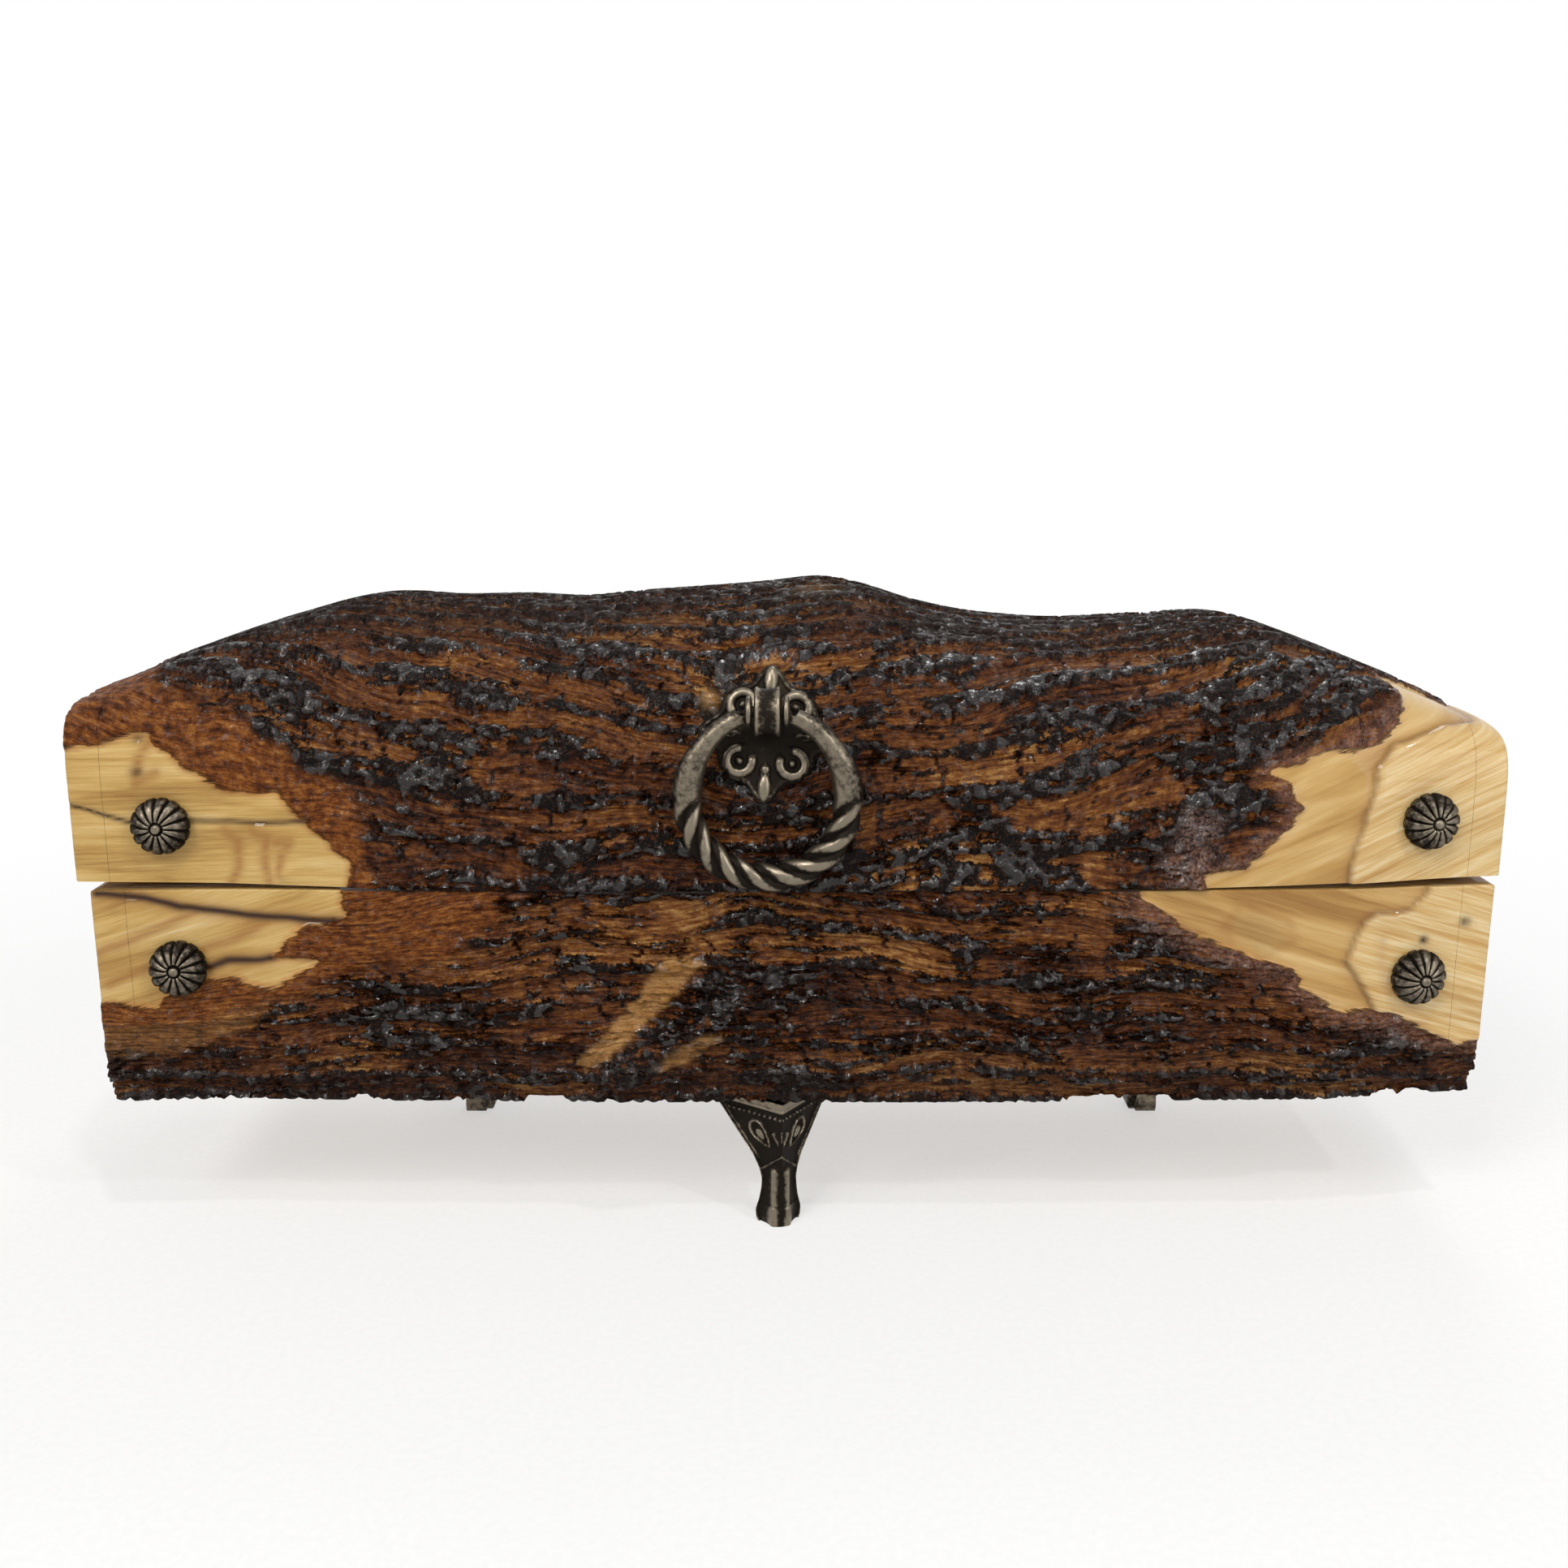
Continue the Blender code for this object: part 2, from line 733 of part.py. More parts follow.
base_log = log_body("base_log", base_section, base_offset, base_length)
lid_log = log_body("lid_log", lid_section, 0, lid_length)
base_hollow = hollow_cutter("base_hollow", base_hollow_section, base_offset, base_length, 1)
lid_hollow = hollow_cutter("lid_hollow", lid_hollow_section, 0, lid_length, -1)
boolean(base_log, base_hollow, "DIFFERENCE")
boolean(lid_log, lid_hollow, "DIFFERENCE")
base_end_left = end_slice("base_end_left", base_section, base_offset, base_length, -1)
base_end_right = end_slice("base_end_right", base_section, base_offset, base_length, 1)
lid_end_left = end_slice("lid_end_left", lid_section, 0, lid_length, -1)
lid_end_right = end_slice("lid_end_right", lid_section, 0, lid_length, 1)
base_lining = lining("base_lining", base_hollow_section, base_offset, base_length, 1)
lid_lining = lining("lid_lining", lid_hollow_section, 0, lid_length, -1)
lid_pieces = [lid_log, lid_end_left, lid_end_right, lid_lining]


# Tacks with fluted domes
def tack(name, x, z, wood):
    """A fluted dome on a shank, driven square to the wood's face."""
    out = surface_normal(x, z, tack_radius)
    seat = Vector((x, surface_y(x, z), z)) + out * tack_seat
    profile = [(0, tack_height + tack_boss_height)]
    boss_edge = tack_height + tack_boss_height * tack_boss_edge_share
    profile += [(tack_boss_radius * tack_boss_top_share, boss_edge)]
    profile += [(tack_boss_radius, tack_height * tack_boss_foot_share)]
    for k in range(1, dome_steps + 1):
        turn = math.pi / 2 * k / dome_steps
        radius = tack_boss_radius + (tack_radius - tack_boss_radius) * math.sin(turn)
        profile.append((radius, tack_rim + (tack_height * tack_dome_share - tack_rim) * math.cos(turn)))
    profile += [(tack_radius * tack_edge_share, 0), (tack_shank_radius, 0)]
    profile += [(tack_shank_radius, -tack_shank_length * tack_taper_share), (0, -tack_shank_length)]
    obj = turned(name, profile, axis_place(seat, out), tack_steps, dark_bronze)
    apply_modifiers(obj)
    for vertex in obj.data.vertices:
        radius = math.hypot(vertex.co.x, vertex.co.y)
        if radius > tack_boss_radius * tack_flute_start_share and vertex.co.z > -fit_gap:
            angle = math.atan2(vertex.co.y, vertex.co.x)
            pinch = tack_flute_share * abs(math.cos(angle * tack_petals / 2)) ** 6
            pinch *= smooth(radius / (tack_radius * tack_flute_full_share))
            vertex.co.x *= 1 - pinch
            vertex.co.y *= 1 - pinch
    shade_round(obj)
    wide, narrow = tack_radius + tack_hole_gap, tack_shank_radius + tack_hole_gap
    room = [(0, cut_overrun), (wide, cut_overrun), (wide, -tack_hole_gap), (narrow, -tack_hole_gap)]
    room += [(narrow, -tack_shank_length - tack_hole_gap), (0, -tack_shank_length - tack_hole_gap)]
    hole = cutter(turned(name + "_hole", room, axis_place(seat, out), round_steps, None))
    boolean(wood, hole, "DIFFERENCE")
    return obj


def apply_modifiers(obj):
    """Replaces an object's mesh by what its modifiers make of it."""
    bpy.context.view_layer.update()
    graph = bpy.context.evaluated_depsgraph_get()
    mesh = bpy.data.meshes.new_from_object(obj.evaluated_get(graph))
    obj.modifiers.clear()
    obj.data = mesh
    return obj


base_left_x = base_offset - half_base + tack_inset_base_left
base_right_x = base_offset + half_base - tack_inset_base_right
tack("base_tack_left", base_left_x, seam_z - tack_drop_base_left, base_log)
tack("base_tack_right", base_right_x, seam_z - tack_drop_base_right, base_log)
lid_left_x, lid_right_x = tack_inset_lid_left - half_lid, half_lid - tack_inset_lid_right
lid_left_daisy = tack("lid_tack_left", lid_left_x, seam_z + tack_rise_lid_left, lid_log)
lid_right_daisy = tack("lid_tack_right", lid_right_x, seam_z + tack_rise_lid_right, lid_log)
lid_pieces += [lid_left_daisy, lid_right_daisy]


# Ring pull: rosette with its eye, ring with a twisted lower half, and the screw behind
def rosette_radius(angle):
    """Four pointed petals with a rounded lobe between each two."""
    petal = abs(math.cos(2 * angle)) ** 7 * (plate_radius - plate_waist_radius)
    return plate_waist_radius + petal + plate_lobe * abs(math.sin(2 * angle)) ** 3


def rosette(name):
    """A cast plate: flat back, crowned front with a boss, the outline as a polar rule."""
    rings = []
    for share in reversed(plate_ring_shares):
        ring = []
        for k in range(plate_steps):
            angle = 2 * math.pi * k / plate_steps
            radius = rosette_radius(angle) * share
            lift = plate_edge + plate_crown * (1 - share ** 2)
            lift += plate_boss_height * math.exp(-((radius / plate_boss_radius) ** 2))
            if share == 1.0:
                lift = plate_edge * plate_rim_share
            ring.append((radius * math.sin(angle + pull_turn), lift, radius * math.cos(angle + pull_turn)))
        rings.append(ring)
    back = [(x, 0, up) for x, _, up in rings[0]]
    places = [[on_pull(x, fit_gap + lift, up) for x, lift, up in ring] for ring in [back] + rings]
    return add_object(name, skin(places, name), bronze)


def ring_path():
    """Centre line of the ring from the pin in the eye round to the other side, with its radius at each point."""
    half_eye = eye_width / 2
    inner = half_eye + collar_gap
    outer = inner + collar_width
    points = [
        (-ring_pin_inner, 0.0, ring_pin_radius),
        (-inner + fit_gap / 2, 0.0, ring_pin_radius),
        (-inner, 0.0, collar_radius * collar_inner_share),
        (-inner - collar_width / 2, 0.0, collar_radius),
        (-outer, 0.0, collar_radius * collar_outer_share),
        (-outer - fit_gap / 2, 0.0, ring_end_radius),
    ]
    start = math.asin((outer + collar_width) / ring_hang)
    for k in range(ring_steps + 1):
        angle = start + (2 * math.pi - 2 * start) * k / ring_steps
        near_top = ((1 + math.cos(angle)) / 2) ** 6
        reach = ring_radius + (ring_hang - ring_radius) * near_top
        x = -reach * math.sin(angle)
        z = reach * math.cos(angle) - ring_hang
        thick = smooth((1 - math.cos(angle)) * ring_swell_share)
        points.append((x, z, ring_end_radius + (ring_tube_radius - ring_end_radius) * thick))
    points += [(-x, z, radius) for x, z, radius in reversed(points[:6])]
    return points


def ring(name):
    points = ring_path()
    rings, run = [], 0.0
    for k, (x, z, radius) in enumerate(points):
        before, after = points[max(0, k - 1)], points[min(len(points) - 1, k + 1)]
        dx, dz = after[0] - before[0], after[1] - before[1]
        size = math.hypot(dx, dz)
        side = Vector((dz / size, 0, -dx / size))
        if k:
            run += math.hypot(x - points[k - 1][0], z - points[k - 1][1])
        low = smooth((-z - ring_hang * twist_start_share) / (ring_radius * twist_blend_share))
        loop = []
        for j in range(ring_sides):
            turn = 2 * math.pi * j / ring_sides
            wave = math.cos(twist_strands * (turn - 2 * math.pi * run / twist_pitch))
            size_here = radius * (1 - twist_depth_share * low * (1 - wave) / 2)
            spot = Vector((x, 0, z)) + side * size_here * math.cos(turn)
            loop.append((spot.x, spot.y + size_here * math.sin(turn), spot.z))
        rings.append(loop)
    mesh = skin(rings, name)
    obj = add_object(name, mesh, bronze)
    obj.location = ring_axis
    shade_round(obj)
    return obj


pull_plate = rosette("pull_plate")


def across_eye(reach):
    """Both ends of a line through the eye along the ring's axis."""
    return ring_axis - Vector((reach, 0, 0)), ring_axis + Vector((reach, 0, 0))


def strap(name):
    """The strap that leaves the rosette, curls over the ring's pins and runs back."""
    outline = []
    for k in range(strap_steps + 1):
        turn = math.pi * (k / strap_steps - 0.5)
        outline.append((ring_stand + eye_radius * math.cos(turn), eye_rise + eye_half_height * math.sin(turn)))
    root = fit_gap + plate_edge / 2
    outline += [(root, eye_rise + eye_neck / 2), (root, eye_rise - eye_neck / 2)]
    sides = [[on_pull(x, out, up) for out, up in outline] for x in (-eye_width / 2, eye_width / 2)]
    return cutter(add_object(name, skin(sides, name), None))


boolean(pull_plate, strap("eye_strap"), "UNION")
eye_bore = cutter(rod("eye_bore", eye_bore_radius, *across_eye(eye_width)))
boolean(pull_plate, eye_bore, "DIFFERENCE")
shade_round(pull_plate)
pull_ring = ring("pull_ring")


def pull_screw(name):
    """A pan head screw from inside the lid, square to the rosette, its head sunk behind the lining."""
    length = pull_screw_depth + fit_gap + pull_screw_bite
    profile = [
        (0, pull_screw_head),
        (pull_screw_head_radius * screw_top_share, pull_screw_head),
        (pull_screw_head_radius, pull_screw_head * pull_screw_edge_share),
        (pull_screw_head_radius, 0),
        (pull_screw_radius, 0),
        (pull_screw_radius, -length + pull_screw_radius / 2),
        (pull_screw_radius / 2, -length),
        (0, -length),
    ]
    place = axis_place(on_pull(0, -pull_screw_depth, 0), -lean_out)
    return turned(name, profile, place, round_steps, dark_bronze)


pull_fixing = pull_screw("pull_screw")
seat_front = on_pull(0, cut_overrun, 0)
head_seat = on_pull(0, fit_gap - pull_screw_depth, 0)
past_wall = on_pull(0, -lid_front_wall - cut_overrun, 0)
tip = on_pull(0, pull_screw_bite + 2 * fit_gap, 0)
plate_seat = cutter(rod("pull_plate_seat", plate_radius + fit_gap, seat, seat_front, 2 * round_steps))
screw_hole = cutter(rod("pull_screw_hole", pull_screw_radius + fit_gap, seat_front, past_wall))
screw_pocket = cutter(rod("pull_screw_pocket", pull_screw_head_radius + fit_gap, head_seat, past_wall))
tip_hole = cutter(rod("pull_screw_seat", pull_screw_radius + fit_gap, past_wall, tip))
boolean(lid_log, plate_seat, "DIFFERENCE")
boolean(lid_log, screw_hole, "DIFFERENCE")
boolean(lid_log, screw_pocket, "DIFFERENCE")
boolean(pull_plate, tip_hole, "DIFFERENCE")
lid_pieces += [pull_plate, pull_fixing]


# Cast corner feet: two thin faces that meet in an edge, drawn down to a waist and a toe
def foot_levels():
    """Height, arm length and wall of each level, from the sole up to the middle of the plate."""
    top = foot_height - foot_plate_thickness
    levels = [(0.0, foot_sole_arm, foot_sole_arm * foot_sole_wall_share)]
    for height, arm, wall in foot_toe_shares:
        levels.append((top * height, foot_toe_arm * arm, foot_toe_arm * wall))
    for height, arm, wall in foot_waist_shares:
        levels.append((top * height, foot_waist_arm * arm, foot_waist_arm * wall))
    height, arm, wall = foot_neck_shares
    levels.append((top * height, foot_waist_arm * arm, foot_wall * wall))
    for height, arm, wall in foot_flare_shares:
        levels.append((top * height, foot_arm * arm, foot_wall * wall))
    return levels + [(top + foot_plate_thickness / 2, foot_arm, foot_wall)]


def foot(name, corner_x, corner_y, turn, base_wood):
    """The outer edge stands at the corner and the two arms run back at 45 degrees to it."""
    place = Matrix.Translation((corner_x, corner_y, 0)) @ Matrix.Rotation(turn, 4, "Z")
    diagonal = math.sqrt(0.5)
    rings = []
    for height, arm, wall in foot_levels():
        soft = foot_corner_round
        flat = [
            (soft * diagonal, soft * diagonal),
            (arm * diagonal, arm * diagonal),
            ((arm - wall) * diagonal, (arm + wall) * diagonal),
            (0, wall / diagonal),
            (-(arm - wall) * diagonal, (arm + wall) * diagonal),
            (-arm * diagonal, arm * diagonal),
            (-soft * diagonal, soft * diagonal),
            (0, soft * diagonal / 2),
        ]
        rings.append([place @ Vector((x, y, height)) for x, y in flat])
    obj = add_object(name, skin(rings, name), dark_bronze)
    reach = foot_arm * diagonal
    low, high = foot_height - foot_plate_thickness, foot_height
    out = foot_rim / diagonal
    back_edge = reach + foot_rim
    outline = [(0, -out), (reach + out, reach), (reach, back_edge), (-reach, back_edge), (-reach - out, reach)]
    plate_rings = [[place @ Vector((x, y, z)) for x, y in outline] for z in (low, high)]
    plate = cutter(add_object(name + "_flange", skin(plate_rings, name + "_flange"), None))
    boolean(obj, plate, "UNION")
    screws = []
    for side, label in ((-1, "left"), (1, "right")):
        spot = place @ Vector((side * foot_screw_spread, foot_screw_inset, low))
        hole = rod(
            f"{name}_screw_hole_{label}",
            foot_screw_radius + fit_gap,
            spot - Vector((0, 0, foot_plate_thickness)),
            spot + Vector((0, 0, foot_screw_length + fit_gap)),
        )
        boolean(obj, cutter(hole), "DIFFERENCE")
        boolean(base_wood, hole, "DIFFERENCE")
        screws.append(foot_screw(f"{name}_screw_{label}", spot))
    return [obj] + screws


def foot_screw(name, spot):
    """A round head screw up through the foot's plate into the base."""
    profile = [
        (0, foot_screw_head),
        (foot_screw_head_radius * screw_top_share, foot_screw_head * screw_crown_share),
        (foot_screw_head_radius, foot_screw_head * foot_screw_edge_share),
        (foot_screw_head_radius, 0),
        (foot_screw_radius, 0),
        (foot_screw_radius, -foot_screw_length * screw_taper_share),
        (0, -foot_screw_length),
    ]
    place = axis_place(spot - Vector((0, 0, fit_gap)), (0, 0, -1))
    return turned(name, profile, place, round_steps, dark_bronze)


front_corner_y = front_y + front_foot_inset
rear_toe_y = front_corner_y + toe_inset + foot_spacing
corner_reach = toe_inset * math.sqrt(0.5)
foot_pieces = foot("front_foot", front_foot_x, front_corner_y, front_foot_turn, base_log)
foot_pieces += foot(
    "rear_left_foot",
    rear_left_foot_x - corner_reach,
    rear_toe_y + corner_reach,
    -3 * math.pi / 4,
    base_log,
)
foot_pieces += foot(
    "rear_right_foot",
    rear_right_foot_x + corner_reach,
    rear_toe_y + corner_reach,
    3 * math.pi / 4,
    base_log,
)


# Butt hinges screwed on the back faces
def leaf(name, centre_x, way, spans):
    """One leaf with its knuckles: way is 1 for the lid's leaf and -1 for the base's."""
    near, far = knuckle_radius + knuckle_gap, leaf_height
    low_y, high_y = back_y + fit_gap, back_y + fit_gap + leaf_thickness
    heights = sorted((hinge_z + way * near, hinge_z + way * far))
    half = hinge_width / 2
    obj = block(name, (centre_x - half, low_y, heights[0]), (centre_x + half, high_y, heights[1]), bronze)
    soften_outer_corners(obj, way)
    for number, (x_low, x_high) in enumerate(spans):
        tab_heights = sorted((hinge_z, hinge_z + way * (near + leaf_thickness)))
        tab = cutter(
            block(
                f"{name}_tab_{number}",
                (centre_x + x_low, low_y, tab_heights[0]),
                (centre_x + x_high, high_y, tab_heights[1]),
            )
        )
        barrel = cutter(
            rod(
                f"{name}_barrel_{number}",
                knuckle_radius,
                (centre_x + x_low, hinge_y, hinge_z),
                (centre_x + x_high, hinge_y, hinge_z),
            )
        )
        boolean(obj, tab, "UNION")
        boolean(obj, barrel, "UNION")
    bore = cutter(
        rod(
            name + "_bore",
            hinge_pin_radius + hinge_pin_gap,
            (centre_x - hinge_width, hinge_y, hinge_z),
            (centre_x + hinge_width, hinge_y, hinge_z),
        )
    )
    boolean(obj, bore, "DIFFERENCE")
    shade_round(obj)
    return obj


def soften_outer_corners(obj, way):
    """Rounds the two corners of a leaf that lie away from its knuckles."""
    bm = bmesh.new()
    bm.from_mesh(obj.data)
    edge_z = hinge_z + way * leaf_height
    chosen = []
    for edge in bm.edges:
        first, last = edge.verts[0].co, edge.verts[1].co
        at_edge = max(abs(first.z - edge_z), abs(last.z - edge_z)) < fit_gap
        if at_edge and abs(first.y - last.y) > fit_gap:
            chosen.append(edge)
    bmesh.ops.bevel(bm, geom=chosen, offset=leaf_corner, segments=leaf_corner_steps, affect="EDGES", profile=0.5)
    bm.to_mesh(obj.data)
    bm.free()


def hinge_screw(name, x, z, wood, plate):
    """A pan head screw through a leaf into the back wall."""
    seat_at = back_y + fit_gap + leaf_thickness + fit_gap
    profile = [
        (0, hinge_screw_head),
        (hinge_screw_head_radius * screw_top_share, hinge_screw_head * screw_crown_share),
        (hinge_screw_head_radius, hinge_screw_head * hinge_screw_edge_share),
        (hinge_screw_head_radius, 0),
        (hinge_screw_radius, 0),
        (hinge_screw_radius, -hinge_screw_length * screw_taper_share),
        (0, -hinge_screw_length),
    ]
    hole = cutter(
        rod(
            name + "_hole",
            hinge_screw_radius + fit_gap,
            (x, seat_at + cut_overrun, z),
            (x, seat_at - hinge_screw_length - fit_gap, z),
        )
    )
    boolean(wood, hole, "DIFFERENCE")
    boolean(plate, hole, "DIFFERENCE")
    return turned(name, profile, axis_place((x, seat_at, z), (0, 1, 0)), round_steps, bronze)


def hinge(label, centre_x):
    """Both leaves, the pin and four screws. The pin stays with the base's two outer knuckles."""
    half = hinge_width / 2
    end = hinge_width * knuckle_end_share
    outer_spans = ((-half, -half + end), (half - end, half))
    inner_spans = ((-half + end + knuckle_gap, half - end - knuckle_gap),)
    base_leaf = leaf(f"hinge_{label}_base_leaf", centre_x, -1, outer_spans)
    lid_leaf = leaf(f"hinge_{label}_lid_leaf", centre_x, 1, inner_spans)
    pin_half = half + fit_gap + hinge_pin_head
    profile = [
        (0, pin_half),
        (hinge_pin_head_radius * hinge_pin_crown_share, pin_half),
        (hinge_pin_head_radius, half + fit_gap),
        (hinge_pin_radius, half + fit_gap),
        (hinge_pin_radius, -half - fit_gap),
        (hinge_pin_head_radius, -half - fit_gap),
        (hinge_pin_head_radius * hinge_pin_crown_share, -pin_half),
        (0, -pin_half),
    ]
    pin_place = axis_place((centre_x, hinge_y, hinge_z), (1, 0, 0))
    turned(f"hinge_{label}_pin", profile, pin_place, round_steps, bronze)
    for side, word in ((-1, "left"), (1, "right")):
        x = centre_x + side * hinge_screw_spread
        hinge_screw(f"hinge_{label}_base_screw_{word}", x, hinge_z - hinge_screw_rise, base_log, base_leaf)
        lid_pieces.append(
            hinge_screw(f"hinge_{label}_lid_screw_{word}", x, hinge_z + hinge_screw_rise, lid_log, lid_leaf)
        )
    lid_pieces.append(lid_leaf)


hinge("left", -hinge_spread)
hinge("right", hinge_spread)

bpy.context.view_layer.update()
for piece in lid_pieces:
    put_under(piece, lid_pivot, hinge_axis)
put_under(pull_ring, ring_pivot, ring_axis)
for piece in (base_log, base_end_left, base_end_right, lid_log, lid_end_left, lid_end_right):
    shade_round(piece)
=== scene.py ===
import json
import math

import bpy
import numpy as np
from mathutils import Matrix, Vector

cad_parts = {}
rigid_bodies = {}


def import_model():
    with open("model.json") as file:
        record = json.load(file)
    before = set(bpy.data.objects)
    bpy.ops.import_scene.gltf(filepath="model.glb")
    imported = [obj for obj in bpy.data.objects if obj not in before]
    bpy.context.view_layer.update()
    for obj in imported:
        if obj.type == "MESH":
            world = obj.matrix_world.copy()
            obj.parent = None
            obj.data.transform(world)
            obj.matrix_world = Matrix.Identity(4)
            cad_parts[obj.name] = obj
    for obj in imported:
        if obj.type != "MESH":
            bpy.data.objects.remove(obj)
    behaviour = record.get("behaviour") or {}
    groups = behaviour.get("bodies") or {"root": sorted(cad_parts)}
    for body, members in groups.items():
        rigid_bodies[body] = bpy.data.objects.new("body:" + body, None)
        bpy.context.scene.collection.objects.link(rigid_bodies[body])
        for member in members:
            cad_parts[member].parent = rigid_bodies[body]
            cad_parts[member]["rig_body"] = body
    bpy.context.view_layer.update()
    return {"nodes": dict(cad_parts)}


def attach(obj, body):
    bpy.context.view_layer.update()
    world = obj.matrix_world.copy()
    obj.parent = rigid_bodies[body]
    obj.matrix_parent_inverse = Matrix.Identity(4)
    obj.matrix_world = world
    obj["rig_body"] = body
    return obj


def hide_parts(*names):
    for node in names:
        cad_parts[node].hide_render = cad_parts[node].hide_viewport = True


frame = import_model()

bl_info = {
    "name": "Log Jewellery Box",
    "version": (1, 0, 0),
    "blender": (4, 5, 0),
    "location": "3D View > Sidebar > Log Box",
    "description": "Dresses a log jewellery box with bark, bare wood, cast bronze and felt",
    "category": "Object",
}

# The log's form in millimetres: X along the box, Y to the back, Z up
millimetre = 0.001
half_lid, half_base, base_offset = 135.0, 133.5, 0.9
front, back = -37.2834, 42.7166
crest_depth = 52
crest_y = front + crest_depth
floor_z, seam_z, lid_z, lid_height = 26.9, 70.5, 70.9, 54.0
slice_width, glue_gap = 6.5, 0.06

# The hollow sawn through each half: front wall, back wall, floor or roof, and the round of its corners
lid_front_wall, lid_back_wall, lid_roof, lid_round = 9.5, 7.5, 8, 11
base_front_wall, base_back_wall, base_floor, base_round = 13, 8.5, 11, 6

# The ring pull: its seat on the lid's leaning face, the place of the ring's pins and the ring itself
pull_x, pull_z, pull_tilt, pull_turn = -4.6, 100.2, 0.265, 0.065
seat_radius, seat_sink = 16.5, 0.7
pin_out, pin_up = 7.9, 3.6
ring_radius, ring_hang = 14.75, 16.3
strands, strand_lead = 3, 16.5

# The left pin and collar of the ring, as places across and up from the pins' axis and radius
ring_pin = (
    (-0.5, 0, 0.0), (-0.5, 0, 0.95), (-2.75, 0, 1.0), (-2.86, 0, 1.1), (-2.88, 0, 2.2), (-2.95, 0, 2.65),
    (-3.15, 0, 2.86), (-3.4, 0, 2.9), (-3.65, 0, 2.86), (-3.83, 0, 2.65), (-3.9, 0, 2.2), (-4.0, 0, 1.75),
)

# The tacks and screws: petals, grooves of a thread, and the tack's rim and pin as radius, height, brightness
petals, threads = 14, 18
tack_tail = (
    (1.0, 0.16, 0.5), (1.0, 0.04, 0.2), (0.94, 0.0, 0.0), (0.16, 0.0, 0.0), (0.14, -0.3, 0.0),
    (0.13, -1.2, 0.0), (0.0, -1.5, 0.0),
)

# The bark's rows: where they fork, how far apart they run, and how deep bark and bare wood lie
fork_x, fork_width = -11.5, 6
row_pitch = 7.6
bark_depth = 1.6
lid_seed, base_seed = 3, 47

# Sections along a hollowed half; vertices across the bark and across the top or underside of each half
stations = 405
lid_columns, base_columns = (142, 46), (132, 30)

# Vertices of the sawn rows: up the back, over the back rim, round the hollow and over the front rim
back_count, back_rim_count, hollow_count, front_rim_count = 22, 4, 26, 6
bark_end = back - 0.4

# Rows of an end slice: their distance from its face, the rings on the face and how dark bark makes each
slice_steps = (slice_width, 5.6, 4.7, 3.8, 2.9, 2.0, 1.2, 0.6, 0.2, 0.0)
face_shares = (0.985, 0.955, 0.90, 0.8, 0.65, 0.45, 0.2, 0.0)
rim_shares = (1, 1, 0.25, 0, 0, 0, 0, 0)

# Height of the lid's crest as a share of the lid's height, from the left end to the right end
crest_table = (
    (-1.00, 0.670), (-0.91, 0.755), (-0.80, 0.845), (-0.67, 0.925), (-0.54, 0.920),
    (-0.43, 0.926), (-0.34, 0.918), (-0.25, 0.938), (-0.14, 0.958), (-0.04, 0.978),
    (0.05, 0.998), (0.12, 0.965), (0.19, 0.909), (0.27, 0.865), (0.35, 0.841),
    (0.43, 0.828), (0.54, 0.836), (0.66, 0.848), (0.72, 0.838), (0.79, 0.780),
    (0.86, 0.712), (0.93, 0.640), (1.00, 0.556),
)

# Outlines of the four bare patches, as places along X and Z
lid_left_patch = (
    (-140, 98), (-134.5, 98.4), (-128, 99.4), (-122.6, 101), (-119.4, 100.7), (-116.9, 97.6), (-113.8, 95),
    (-110.8, 92.7), (-106.1, 90.4), (-100.2, 89.6), (-96.3, 90.2), (-94.1, 87.4), (-91.9, 84.2),
    (-89.3, 82.1), (-85.4, 79.1), (-83.2, 75.3), (-83.4, 71.5), (-83.4, 60), (-140, 60),
)
lid_right_patch = (
    (116, 118), (117.2, 105.6), (110.2, 98.8), (99, 96.4), (89.4, 93.5), (93, 90), (95.4, 86.3), (91, 80),
    (85, 74.8), (77.5, 73.7), (77.7, 60), (140, 60), (140, 118),
)
base_left_patch = (
    (-140, 80), (-84.6, 80), (-84.6, 64.2), (-91.7, 63.7), (-99.6, 56.9), (-90.5, 56.6), (-92.7, 53.8),
    (-99.6, 50.7), (-104.2, 51.2), (-106.6, 52.8), (-111.5, 52.8), (-116, 50.4), (-120, 49.4),
    (-121.5, 46.8), (-126.2, 46.8), (-129.9, 47.6), (-140, 47.6),
)
base_right_patch = (
    (65.2, 80), (65.2, 69.2), (76.4, 61.6), (87.6, 56.7), (95.4, 55.1), (97.3, 51), (105.5, 46),
    (112.3, 46.2), (121.4, 42.7), (129.4, 38.1), (132, 38.6), (140, 38), (140, 80),
)
# Outlines of the raised plates that the carving left at the two right corners
lid_plate = (
    (123.9, 101.7), (115.8, 98.9), (112.7, 98.3), (109.7, 94), (109.1, 89.1), (107.5, 83.7), (105.7, 77.3),
    (104, 60), (140, 60), (140, 102),
)
base_plate = (
    (121.4, 80), (121.4, 69.8), (119.9, 67.9), (118.2, 66.1), (115, 65), (111.2, 65.2), (109.1, 63.9),
    (107.9, 61.9), (107, 59), (106, 56.4), (112.7, 45.8), (129.8, 37.6), (140, 37), (140, 80),
)
